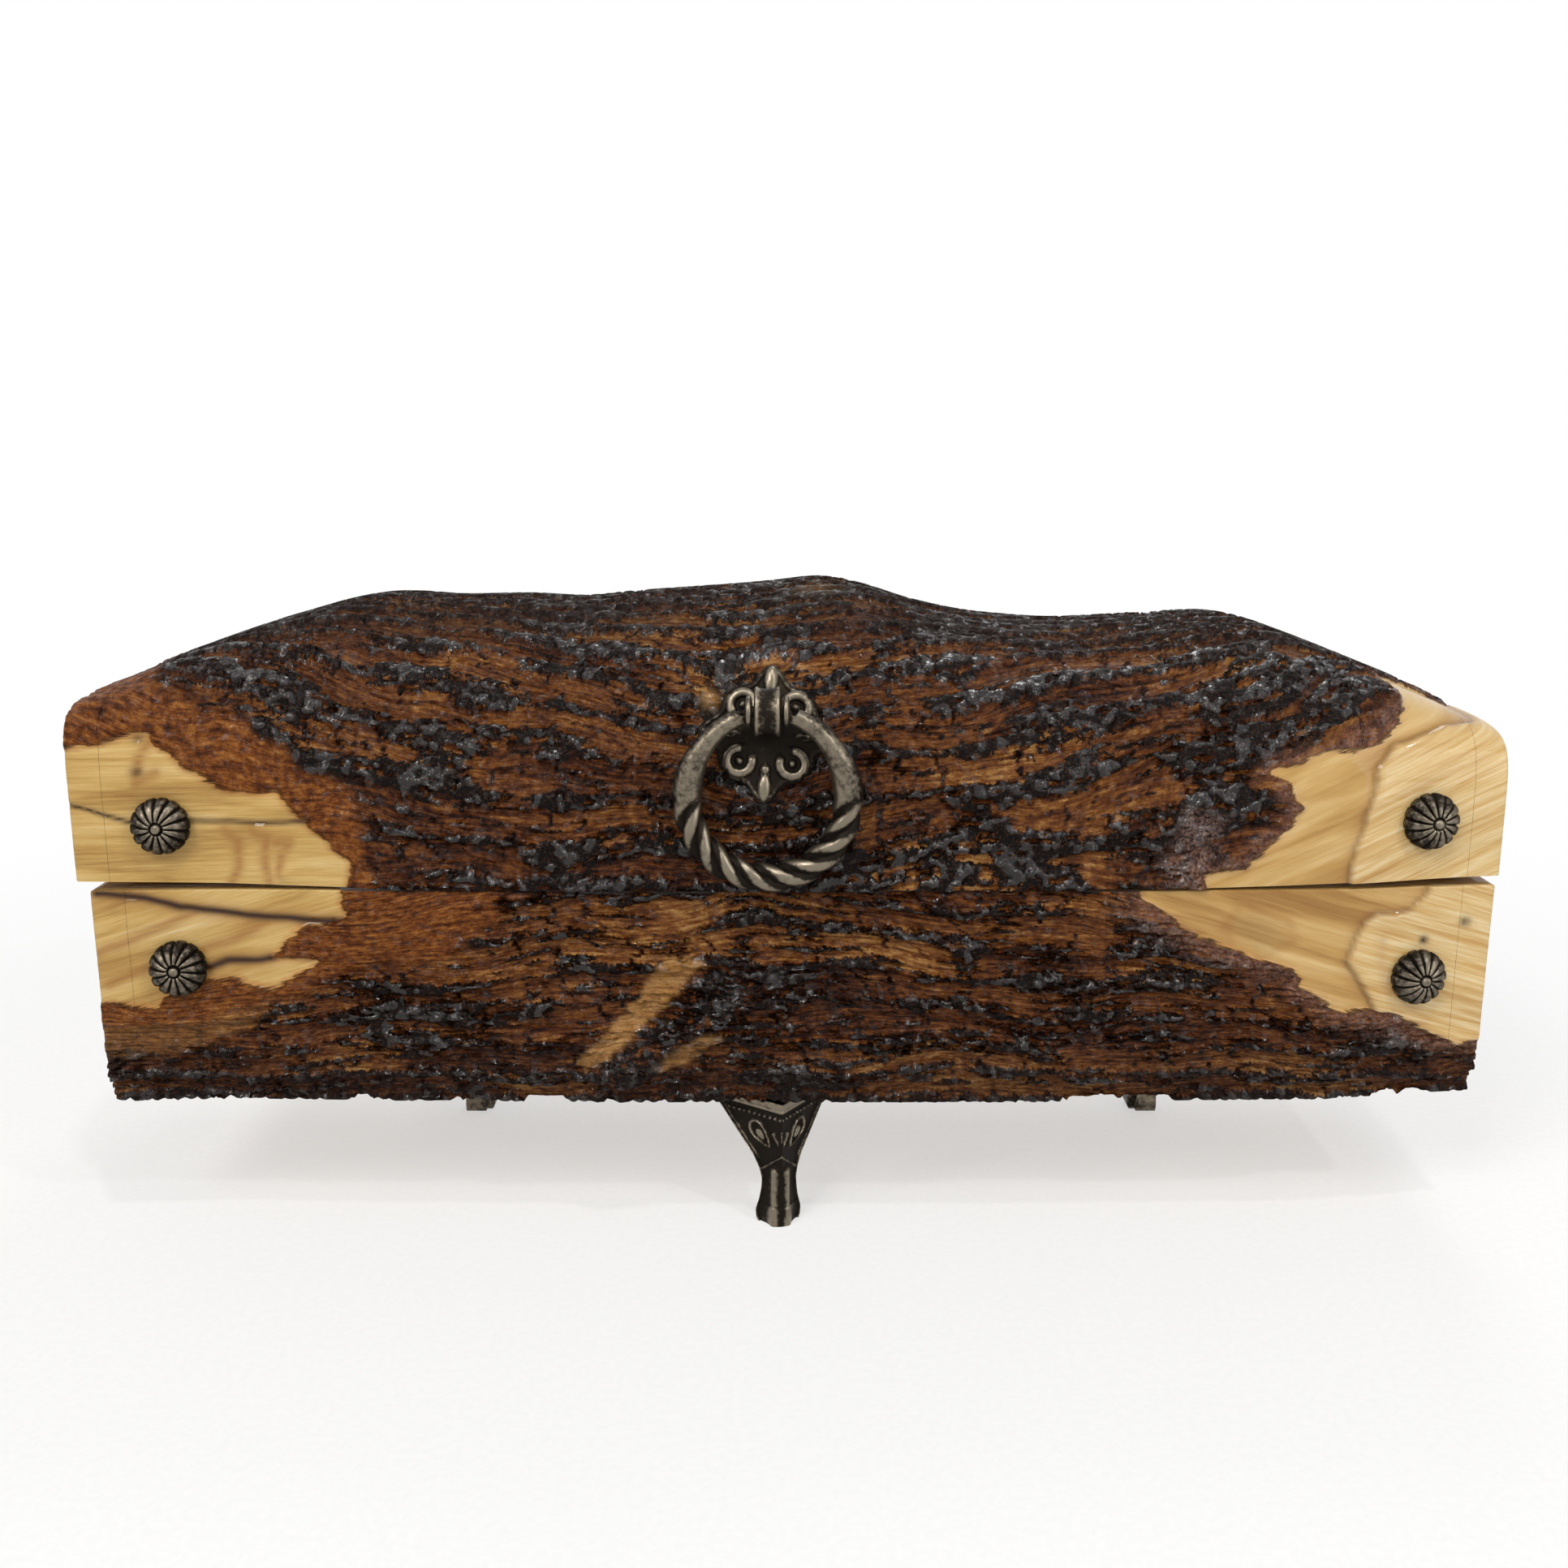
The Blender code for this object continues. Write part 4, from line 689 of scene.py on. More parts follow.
def slice_piece(name, in_lid, side):
    """An end slice: bark and bare wood round it, and sawn end grain on its face."""
    middle, half, columns = log_form(in_lid)
    xs = middle + side * (half - np.array(slice_steps))
    outer, fields = shell(xs, in_lid, columns)
    rest = sawn_rows(xs, outer, in_lid, False)
    fields = joined_fields(fields, rest.shape[1])
    outline = np.concatenate([outer, rest], axis=1)
    places = slice_places(outline, outline.mean(axis=(0, 1)))
    whole = {}
    for key, values in fields.items():
        end = np.repeat(values[-1:], len(face_shares), axis=0)
        if key == "sawn":
            end = np.ones(np.shape(end))
        whole[key] = closed_round(np.concatenate([values[:1], values, end]))
    barked = np.repeat((fields["sawn"][-1:] < 0.5) * 1.0, len(face_shares), axis=0)
    dark = barked * np.array(rim_shares)[:, None]
    whole["rim"] = closed_round(np.concatenate([np.zeros((len(xs) + 1, places.shape[1])), dark]))
    obj = grid_piece(name, closed_round(places))
    add_values(obj, whole)
    return obj


def colour(code):
    """A colour code as linear values."""
    parts = [int(code[k:k + 2], 16) / 255 for k in (1, 3, 5)]
    return [p / 12.92 if p <= 0.04045 else ((p + 0.055) / 1.055) ** 2.4 for p in parts] + [1]


class Nodes:
    """Short calls that add and join shader nodes."""

    def __init__(self, name):
        self.material = bpy.data.materials.new("look_" + name)
        self.material.use_nodes = True
        self.tree = self.material.node_tree
        self.tree.nodes.clear()
        self.out = self.add("ShaderNodeOutputMaterial")
        self.skin = self.add("ShaderNodeBsdfPrincipled")
        self.tree.links.new(self.skin.outputs[0], self.out.inputs[0])
        self.object = self.add("ShaderNodeTexCoord").outputs["Object"]

    def fill(self, socket, value):
        """Links a socket to another one, or gives it a value."""
        if isinstance(value, bpy.types.NodeSocket):
            self.tree.links.new(value, socket)
        else:
            socket.default_value = value

    def add(self, kind, inputs=(), **settings):
        node = self.tree.nodes.new(kind)
        for key, value in settings.items():
            setattr(node, key, value)
        for key, value in dict(inputs).items():
            self.fill(node.inputs[key], value)
        return node

    def field(self, name, vector=False):
        """A value that is stored in the mesh."""
        output = "Vector" if vector else "Fac"
        return self.add("ShaderNodeAttribute", attribute_name=name).outputs[output]

    def scaled(self, source, scale, move=(0, 0, 0)):
        inputs = {"Vector": source, "Scale": scale, "Location": move}
        return self.add("ShaderNodeMapping", inputs).outputs[0]

    def noise(self, source, scale, detail=4, rough=0.6, warp=0.0):
        inputs = {"Vector": source, "Scale": scale, "Detail": detail, "Roughness": rough, "Distortion": warp}
        return self.add("ShaderNodeTexNoise", inputs).outputs["Fac"]

    def drops(self, source, scale):
        """Distance from the middles of soft round cells."""
        inputs = {"Vector": source, "Scale": scale}
        return self.add("ShaderNodeTexVoronoi", inputs, feature="SMOOTH_F1").outputs["Distance"]

    def length(self, source):
        return self.add("ShaderNodeVectorMath", {0: source}, operation="LENGTH").outputs["Value"]

    def maths(self, operation, a, b, clamp=False):
        return self.add("ShaderNodeMath", {0: a, 1: b}, operation=operation, use_clamp=clamp).outputs[0]

    def sum(self, a, b, clamp=False):
        return self.maths("ADD", a, b, clamp)

    def times(self, a, b, clamp=False):
        return self.maths("MULTIPLY", a, b, clamp)

    def between(self, value, low, high, to_low=0.0, to_high=1.0):
        """A smooth step from one value to another."""
        inputs = {"Value": value, "From Min": low, "From Max": high, "To Min": to_low, "To Max": to_high}
        node = self.add("ShaderNodeMapRange", inputs, interpolation_type="SMOOTHSTEP")
        return node.outputs["Result"]

    def blend(self, share, a, b):
        """A number between two numbers."""
        return self.add("ShaderNodeMix", {0: share, 2: a, 3: b}).outputs[0]

    def mix(self, share, a, b):
        """A colour between two colours."""
        return self.add("ShaderNodeMix", {0: share, 6: a, 7: b}, data_type="RGBA").outputs[2]

    def ramp(self, value, stops):
        node = self.add("ShaderNodeValToRGB", {"Fac": value})
        points = node.color_ramp.elements
        while len(points) < len(stops):
            points.new(0.5)
        for point, (place, code) in zip(points, stops):
            point.position, point.color = place, colour(code)
        return node.outputs["Color"]

    def bump(self, height, distance, strength=1.0):
        inputs = {"Height": height, "Distance": distance, "Strength": strength}
        return self.add("ShaderNodeBump", inputs).outputs[0]

    def finish(self, base, roughness, normal, **others):
        """Fills the surface's sockets and returns the material."""
        self.fill(self.skin.inputs["Base Color"], base)
        self.fill(self.skin.inputs["Roughness"], roughness)
        self.fill(self.skin.inputs["Normal"], normal)
        for key, value in others.items():
            self.fill(self.skin.inputs[key.replace("_", " ").title().replace("Ior", "IOR")], value)
        return self.material


def log_sockets(n):
    """Stored values and noises that the parts of the log's material share."""
    names = (
        "ridge", "tone", "bare", "crack_and_step_shade", "tan", "mauve", "grey_and_dull", "sawn", "rim", "inner", "stain_and_step_shade",
        "right", "carved",
    )
    s = {name: n.field(name) for name in names}
    flow, grain, place = n.field("bark_flow", True), n.field("wood_flow", True), n.field("bark_place", True)
    s["place"] = place
    s["fibres"] = n.noise(n.scaled(flow, (0.16, 1.6, 1)), 1.0, 6, 0.7)
    s["flecks"] = n.noise(n.scaled(flow, (0.55, 0.9, 1)), 1.0, 5, 0.7)
    s["crumbs"] = n.noise(place, 1.7, 4, 0.65)
    s["specks"] = n.noise(place, 0.9, 3, 0.7)
    s["broad"] = n.noise(n.scaled(grain, (0.022, 0.16, 1)), 1.0, 3, 0.5, 0.6)
    s["lines"] = n.noise(n.scaled(grain, (0.05, 1.1, 1)), 1.0, 5, 0.62, 0.3)
    s["fine"] = n.noise(n.scaled(grain, (0.22, 5.0, 1)), 1.0, 3, 0.6)
    s["pores"] = n.noise(n.scaled(n.object, (90, 1500, 1500)), 1.0, 4, 0.65)
    return s


def bark_tint(n, s):
    """Brown plates with black lumps, tan and inner bark, mauve bark, the lid's grey top, which is painted
    sheen, and the greyer low band of the base; also the share where the plates are rubbed through to black.
    """
    fibres, flecks, crumbs, specks = s["fibres"], s["flecks"], s["crumbs"], s["specks"]
    shade = n.sum(s["tone"], n.between(fibres, 0.3, 0.7, -0.28, 0.28))
    shade = n.sum(shade, n.between(flecks, 0.3, 0.7, -0.2, 0.2), clamp=True)
    plates = n.ramp(shade, (
        (0.0, "#120805"), (0.25, "#3a1b0b"), (0.5, "#63371a"), (0.75, "#865326"), (1.0, "#b4854c")))
    ridges = n.ramp(crumbs, ((0.36, "#020101"), (0.50, "#080403"), (0.60, "#2c170c"), (0.72, "#6e421f")))
    breaks = n.sum(n.between(crumbs, 0.3, 0.7, -0.36, 0.36), n.between(specks, 0.3, 0.7, -0.30, 0.30))
    wear_and_highlight = n.between(n.sum(s["ridge"], breaks), 0.38, 0.56)
    bark = n.mix(wear_and_highlight, plates, ridges)
    tan_tone = n.ramp(fibres, ((0.3, "#7c4f24"), (0.5, "#b5834a"), (0.7, "#d2ac74")))
    bark = n.mix(n.times(s["tan"], n.between(flecks, 0.35, 0.65, 0.6, 1.15), True), bark, tan_tone)
    inner_tone = n.ramp(n.sum(fibres, n.between(flecks, 0.3, 0.7, -0.12, 0.12)), (
        (0.32, "#34190a"), (0.46, "#6a3715"), (0.58, "#8f5422"), (0.72, "#b0763b")))
    bark = n.mix(n.times(s["inner"], n.between(specks, 0.3, 0.6, 0.7, 1.1), True), bark, inner_tone)
    mauve_tone = n.ramp(flecks, ((0.3, "#4d3730"), (0.5, "#83655a"), (0.68, "#b39484")))
    mauve_share = n.times(n.times(s["mauve"], n.between(crumbs, 0.35, 0.62)), 0.8)
    bark = n.mix(mauve_share, bark, mauve_tone)
    # Painted sheen: a grey tone laid over the lid's top in place of the varnish's sheen; the base's low band
    # gets it too.
    greyed_tone = n.ramp(flecks, ((0.3, "#120d0b"), (0.5, "#2c2320"), (0.7, "#5a4b42")))
    return n.mix(n.times(s["grey_and_dull"], 0.55), bark, greyed_tone), wear_and_highlight


def bare_tint(n, s, look):
    """Bare wood with figure, stains, a brown edge, the paler right end, its carved plates and cracks, and
    painted shade at the foot of the plates' step.
    """
    broad, lines = s["broad"], s["lines"]
    figure = n.sum(n.sum(n.times(broad, 0.5), n.times(lines, 0.38)), n.times(s["fine"], 0.12))
    wood = n.ramp(figure, (
        (0.28, look.figure_dark), (0.38, "#95713b"), (0.47, look.wood_tone), (0.56, "#bd9e64"),
        (0.70, "#cdb588")))
    # Brown stains, and the painted shade at the foot of the carved plates.
    wood = n.mix(n.times(s["stain_and_step_shade"], n.between(lines, 0.35, 0.6, 0.35, 0.8)), wood, colour("#8a5a2a"))
    edge_tone = n.ramp(lines, ((0.35, "#6b3a17"), (0.6, "#b07436")))
    wood = n.mix(n.between(s["bare"], 0.28, 0.0, 0.0, 0.75), wood, edge_tone)
    pale = n.ramp(lines, ((0.32, "#b98f55"), (0.5, "#cdaf7c"), (0.66, "#dccaa4")))
    hewn = n.ramp(broad, ((0.35, "#8c6334"), (0.5, "#b08a52"), (0.66, "#c9ab78")))
    wood = n.mix(n.times(s["right"], 0.6), wood, n.mix(s["carved"], hewn, pale))
    # Cracks darken the wood, and so does the painted shade at the foot of the carved plates.
    return n.mix(s["crack_and_step_shade"], wood, colour("#2a140b"))


def sawn_tint(n, s):
    """Sawn end grain with years round the pith, pores and a dark rim of bark."""
    from_pith = n.scaled(n.object, (0, 1000, 1000), move=(0, -52, -38))
    swayed = n.noise(n.scaled(n.object, (18, 55, 55)), 1.0, 3, 0.5)
    reach = n.sum(n.length(from_pith), n.between(swayed, 0.25, 0.75, -3.5, 3.5))
    years = n.add("ShaderNodeCombineXYZ", {"X": reach}).outputs[0]
    ringed = n.between(n.noise(years, 0.62, 4, 0.6), 0.34, 0.68)
    ring_mix = n.sum(n.times(ringed, 0.50), n.times(s["pores"], 0.60))
    tint = n.ramp(ring_mix, ((0.15, "#cdb07a"), (0.5, "#b8935a"), (0.8, "#966b38"), (1.0, "#704820")))
    return n.mix(s["rim"], tint, n.ramp(s["crumbs"], ((0.35, "#160c08"), (0.65, "#4b2814"))))


def log_relief(n, s, smooth_share):
    """Fine relief of bark, bare wood and sawn wood."""
    knobs = n.maths("SUBTRACT", 1.0, n.drops(s["place"], 0.9))
    knobs = n.times(knobs, n.between(s["ridge"], 0, 1, 0.4, 1.2))
    grit = n.noise(s["place"], 4.5, 3, 0.7)
    coarse = n.sum(n.sum(knobs, n.times(grit, 0.45)), n.sum(s["crumbs"], n.times(s["fibres"], 1.1)))
    even = n.sum(n.times(s["lines"], 0.16), n.times(s["fine"], 0.10))
    height = n.sum(n.blend(smooth_share, coarse, even), n.times(n.times(s["pores"], s["sawn"]), 0.25))
    return n.bump(height, 0.0009, 1.0)


def log_varnish(n, s, smooth_share, look):
    """Varnish that stands in drops on the rugged bark: the weight of the coat, and its own relief."""
    drops = n.between(n.drops(s["place"], 0.5), 0.62, 0.12)
    rugged = n.maths("SUBTRACT", 1.0, smooth_share)
    glaze = n.bump(n.times(n.sum(drops, n.times(s["specks"], 0.35)), rugged), 0.0008, 1.0)
    pooled = n.times(drops, n.times(n.between(s["ridge"], 0.3, 0.8, 0.35, 1.0), rugged))
    pooled = n.between(pooled, 0.2, 0.55)
    weight = n.times(n.sum(0.16, n.times(pooled, 0.84)), n.between(s["grey_and_dull"], 0.0, 1.0, 1.0, 0.4))
    weight = n.sum(weight, n.times(smooth_share, 0.35), clamp=True)
    return n.times(weight, look.varnish), glaze


def log_material(look):
    """Varnished bark, bare wood and sawn wood of one log, told apart by the values stored in the mesh."""
    n = Nodes("varnished_log")
    s = log_sockets(n)
    bark, wear_and_highlight = bark_tint(n, s)
    share = n.between(n.sum(s["bare"], n.between(s["fine"], 0.3, 0.7, -0.05, 0.05)), -0.05, 0.05)
    tint = n.mix(s["sawn"], n.mix(share, bark, bare_tint(n, s, look)), sawn_tint(n, s))
    smooth_share = n.maths("MAXIMUM", share, s["sawn"])
    shine = n.sum(n.times(s["grey_and_dull"], 0.25), n.times(s["sawn"], 0.2))
    shine = n.sum(n.blend(wear_and_highlight, 0.45, 0.3), shine, clamp=True)
    weight, glaze = log_varnish(n, s, smooth_share, look)
    return n.finish(
        tint, shine, log_relief(n, s, smooth_share), coat_weight=weight, coat_roughness=0.05,
        coat_ior=1.52, coat_normal=glaze, specular_ior_level=0.03)


def colour_setting(name, description, default):
    """A colour code that a user may change."""
    description += ", as a colour code"
    return bpy.props.StringProperty(name=name, description=description, default=default)


class LogBoxLook(bpy.types.PropertyGroup):
    """Colours and finishes that a user may change."""

    wood_tone: colour_setting("Bare wood", "Middle colour of the bare wood", "#ad8b4e")
    figure_dark: colour_setting("Figure", "Darkest colour of the bare wood's figure", "#7d4f24")
    varnish: bpy.props.FloatProperty(
        name="Varnish", description="Weight of the varnish over bark and wood", default=0.8, min=0, max=1,
        subtype="FACTOR")
    bronze_tone: colour_setting("Bronze", "Colour of the bronze where it is worn bright", "#7f7565")
    patina_tone: colour_setting("Patina", "Colour of the bronze in its hollows", "#1d1813")
    felt_tone: colour_setting("Felt", "Colour of the felt lining", "#5a2a1e")


def shared(name, make):
    """The material of that name, made once."""
    return bpy.data.materials.get("look_" + name) or make(bpy.context.scene.log_box_look)


def build_log(body):
    """One hollowed half of the log and its two end slices."""
    in_lid = body == "lid"
    coat = shared("varnished_log", log_material)
    bark = log_piece(body + "_log_bark", in_lid)
    close_piece(bark, coat, 60, body, (body + "_log",))
    for side, label in ((-1, "left"), (1, "right")):
        piece = slice_piece(f"{body}_slice_{label}", in_lid, side)
        close_piece(piece, coat, 50, body, (f"{body}_end_{label}",))


class LOGBOX_OT_lid(bpy.types.Operator):
    """Builds the lid's hollowed log and its two end slices"""

    bl_idname = "log_box.lid"
    bl_label = "Lid Log"

    def execute(self, context):
        build_log("lid")
        return {"FINISHED"}


class LOGBOX_OT_base(bpy.types.Operator):
    """Builds the base's hollowed log and its two end slices"""

    bl_idname = "log_box.base"
    bl_label = "Base Log"

    def execute(self, context):
        build_log("base")
        return {"FINISHED"}


def bronze_material(look):
    """Cast bronze, bright where it is rubbed and brown-black in its hollows; on the ring the stored
    brightness also holds a painted highlight.
    """
    n = Nodes("antique_bronze")
    mottle = n.noise(n.object, 900, 5, 0.65)
    broad = n.noise(n.object, 160, 3, 0.5)
    share = n.sum(n.field("wear_and_highlight"), n.between(mottle, 0.3, 0.7, -0.22, 0.22))
    share = n.between(n.sum(share, n.between(broad, 0.3, 0.7, -0.14, 0.14)), 0.22, 0.95)
    tint = n.mix(share, colour(look.patina_tone), colour(look.bronze_tone))
    tint = n.mix(n.between(broad, 0.55, 0.75, 0, 0.3), tint, colour("#3a3223"))
    relief = n.bump(n.sum(mottle, n.times(broad, 1.5)), 0.00008, 0.7)
    return n.finish(tint, n.blend(share, 0.58, 0.30), relief, metallic=0.92)


def plain_bronze_material(look):
    """Drawn and pressed bronze of the hinges, with fine scratches and brown patches."""
    n = Nodes("aged_bronze")
    scratch = n.noise(n.scaled(n.object, (300, 2200, 2200)), 1.0, 4, 0.7)
    patches = n.noise(n.object, 220, 4, 0.6)
    tint = n.ramp(n.sum(n.times(scratch, 0.45), n.times(patches, 0.55)), (
        (0.35, look.patina_tone), (0.48, "#4a4133"), (0.58, "#7a6d52"), (0.7, look.bronze_tone)))
    shine = n.between(patches, 0.3, 0.7, 0.32, 0.55)
    return n.finish(tint, shine, n.bump(scratch, 0.00005, 0.6), metallic=0.9)


def felt_material(look):
    """Short brown pile with loose fibres."""
    n = Nodes("brown_felt")
    pile = n.noise(n.object, 2600, 4, 0.75)
    nap = n.noise(n.object, 70, 3, 0.5)
    fibre = n.noise(n.scaled(n.object, (900, 2400, 900)), 1.0, 5, 0.7, 1.5)
    shade = n.sum(n.times(pile, 0.4), n.sum(n.times(nap, 0.3), n.times(fibre, 0.3)))
    tint = n.mix(n.between(shade, 0.35, 0.65), colour("#2a110b"), colour(look.felt_tone))
    relief = n.bump(n.sum(pile, fibre), 0.0004, 0.9)
    return n.finish(tint, 0.95, relief, sheen_weight=0.35, sheen_roughness=0.5)


def node_points(node):
    """Vertices of a solid, in millimetres."""
    return np.array([vertex.co for vertex in frame["nodes"][node].data.vertices]) * 1000


def turned_frame(node, toward):
    """Middle and axis of a turned piece, from its solid: the axis looks toward a direction."""
    points = node_points(node)
    middle = points.mean(axis=0)
    _, size, axes = np.linalg.svd(points - middle, full_matrices=False)
    odd = 0 if size[0] - size[1] > size[1] - size[2] else 2
    axis = axes[odd] if np.dot(axes[odd], toward) > 0 else -axes[odd]
    along = (points - middle) @ axis
    off = np.linalg.norm(points - middle - along[:, None] * axis, axis=1)
    return middle, axis, along, off


def polar_piece(name, middle, axis, rows, steps):
    """A closed piece on an axis from rows of radius, height and brightness, by ring and by angle."""
    radius, height, wear_and_highlight = (np.concatenate([row[k] for row in rows]) for k in range(3))
    side = np.cross(axis, (0, 0, 1) if abs(axis[2]) < 0.9 else (0, 1, 0))
    side = side / np.linalg.norm(side)
    other = np.cross(axis, side)
    turn = np.linspace(0, 2 * math.pi, steps + 1)
    places = middle + height[..., None] * axis + (radius * np.cos(turn))[..., None] * side
    obj = grid_piece(name, places + (radius * np.sin(turn))[..., None] * other)
    add_values(obj, {"wear_and_highlight": wear_and_highlight})
    return obj


def daisy_tack(name, node):
    """A tack whose head is a daisy: a button in the middle and fourteen swirled petals."""
    middle, axis, along, off = turned_frame(node, (0, -1, 0))
    top, rim = along.max(), off.max()
    low = along[off > 0.8 * rim].min()
    tall, steps = top - low, 14 * petals
    turn = np.linspace(0, 2 * math.pi, steps + 1)[None]
    share = np.concatenate([np.linspace(0, 0.2, 8), np.linspace(0.2, 1, 27)[1:]])[:, None]
    cell = (turn + 0.16 * share) * petals / (2 * math.pi)
    groove = mound(cell - np.round(cell), 0.10 + 0.02 / (share + 0.05))
    reach = smooth((share - 0.2) / 0.12)
    dome = 0.22 + 0.66 * np.maximum(0, 1 - share ** 2.3) ** 0.6
    height = low + tall * (dome - 0.15 * groove * reach * (0.4 + 0.6 * share))
    petal = np.abs(cell - np.floor(cell) - 0.5)
    height = height + tall * 0.04 * reach * (1 - (2 * petal) ** 2)
    height = height - tall * 0.10 * mound(share - 0.2, 0.035)
    height = height + tall * 0.12 * np.sqrt(np.maximum(0, 1 - (share / 0.18) ** 2))
    radius = rim * share * (1 - 0.055 * groove * smooth((share - 0.7) / 0.3))
    wear_and_highlight = 0.85 * (1 - groove * reach) * (0.35 + 0.65 * smooth(1.2 - share))
    wear_and_highlight = wear_and_highlight * (1 - 0.9 * mound(share - 0.2, 0.04))
    rows = [(radius, np.minimum(height, top), wear_and_highlight)]
    edge = radius[-1:]
    for part, level, bright in tack_tail:
        level = np.full(edge.shape, low + tall * level)
        rows.append((edge * part, level, np.full(edge.shape, bright)))
    return polar_piece(name, middle, axis, rows, steps)


def cross_screw(name, node, toward):
    """A pan head with a cross recess, a shank and a short point, to the size of its solid."""
    middle, axis, along, off = turned_frame(node, toward)
    rim = off.max()
    low = along[off > 0.8 * rim].min()
    tall, steps = along.max() - low, 72
    shank = np.median(off[(along < low - 0.3)])
    turn = np.linspace(0, 2 * math.pi, steps + 1)[None]
    share = np.linspace(0, 1, 18)[:, None]
    u, v = np.abs(share * np.cos(turn)), np.abs(share * np.sin(turn))
    slot = smooth((0.17 - np.minimum(u, v)) / 0.08) * smooth((0.62 - np.maximum(u, v)) / 0.12)
    height = low + tall * (0.35 + 0.65 * np.sqrt(np.maximum(0, 1 - share ** 2.6)) - 0.55 * slot)
    rows = [(rim * share * np.ones(turn.shape), height, 0.75 * (1 - slot))]
    ring = np.ones(turn.shape)
    tail = [(rim, 0.1, 0.4), (rim * 0.95, 0.0, 0.1), (shank, 0.0, 0.0)]
    deep = (low - along.min()) / tall
    for k in range(threads):
        tail.append((shank * (1 if k % 2 else 0.8), -deep * (0.1 + 0.7 * k / threads), 0.2))
    tail += [(shank * 0.5, -deep * 0.92, 0.1), (0.0, -deep, 0.1)]
    for reach, level, bright in tail:
        rows.append((ring * reach, ring * (low + tall * level), ring * bright))
    return polar_piece(name, middle, axis, rows, steps)


lean_out = np.array([0, -math.cos(pull_tilt), math.sin(pull_tilt)])
lean_up = np.array([0, math.sin(pull_tilt), math.cos(pull_tilt)])
seat = np.array([pull_x, front + seat_setback, pull_z])
ring_axis = seat + pin_out * lean_out + pin_up * lean_up


def on_seat(u, out, w):
    """Places on the pull's leaning seat, from across, out and up."""
    across = np.array([1.0, 0, 0])
    return seat + u[..., None] * across + out[..., None] * lean_out + w[..., None] * lean_up


def rosette_relief(u, w, share):
    """Cast relief of the rosette: a raised rim, two leaves, four scrolls, a bead and two buds."""
    relief = 0.34 * mound(share - 0.93, 0.045)
    for a, b in ((u, w), (w, u)):
        petal = smooth((np.abs(b) - 4.6) / 1.2)
        relief = np.maximum(relief, 0.62 * petal * mound(a, 0.42) * smooth((0.98 - share) / 0.06))
        leaf = (2.3 - 0.22 * np.abs(b)) * smooth((np.abs(b) - 5.0) / 2)
        relief = np.maximum(relief, 0.45 * petal * mound(np.abs(a) - leaf, 0.35))
    for scroll_u in (-4.9, 4.9):
        for scroll_w in (-5.2, 5.2):
            far = np.hypot(u - scroll_u, w - scroll_w)
            curl = np.arctan2((w - scroll_w) * np.sign(scroll_w), (u - scroll_u) * np.sign(scroll_u))
            opening = smooth(np.abs(curl + 2.2) * 1.4 - 0.2)
            round_off = np.sqrt(np.maximum(0, 1 - ((far - 2.3) / 0.95) ** 2))
            relief = np.maximum(relief, 0.95 * opening * round_off)
            relief = np.maximum(relief, 0.70 * mound(far, 0.75))
            relief = relief - 0.35 * mound(far - 1.2, 0.3)
    relief = np.maximum(relief, 0.95 * mound(np.hypot(u, w + 6.6), 0.95, 4))
    for bud_w in (-10.0, 10.0):
        plump = np.hypot(u / 1.35, (w - bud_w) / 2.7)
        relief = np.maximum(relief, 1.05 * np.sqrt(np.maximum(0, 1 - plump ** 2)))
    return relief * smooth((1 - share) / 0.05)


def rosette_piece(name):
    """The pull's cast plate, a cross with rounded arms, turned a little on its seat."""
    turn = np.linspace(0, 2 * math.pi, 288 + 1)[None]
    rim = 9.2 + 3.7 * np.abs(np.cos(2 * turn)) ** 7 + 1.6 * np.abs(np.sin(2 * turn)) ** 3
    rim = rim - 0.5 * mound(np.abs(np.sin(turn)) - np.abs(np.cos(turn)), 0.07)
    share = np.concatenate([np.linspace(0, 0.3, 6), np.linspace(0.3, 1, 50)[1:]])[:, None]
    r = share * rim
    u, w = r * np.sin(turn), r * np.cos(turn)
    relief = rosette_relief(u, w, share)
    out = 0.9 + 1.0 * (1 - share ** 2) + relief
    out[-1] = 0.75
    wear_and_highlight = np.clip(0.05 + 0.95 * relief, 0, 0.9) + 0.2 * smooth((share - 0.92) / 0.08)
    u, w = (np.concatenate([a, a[-1:], a[-1:] * 0]) for a in (u, w))
    out = np.concatenate([out, 0 * out[-1:], 0 * out[-1:]]) + 0.3
    wear_and_highlight = np.concatenate([wear_and_highlight, 0.4 + 0 * wear_and_highlight[-1:], 0 * wear_and_highlight[-1:]])
    c, s = math.cos(pull_turn), math.sin(pull_turn)
    obj = grid_piece(name, on_seat(u * c + w * s, out, w * c - u * s))
    add_values(obj, {"wear_and_highlight": wear_and_highlight})
    return obj


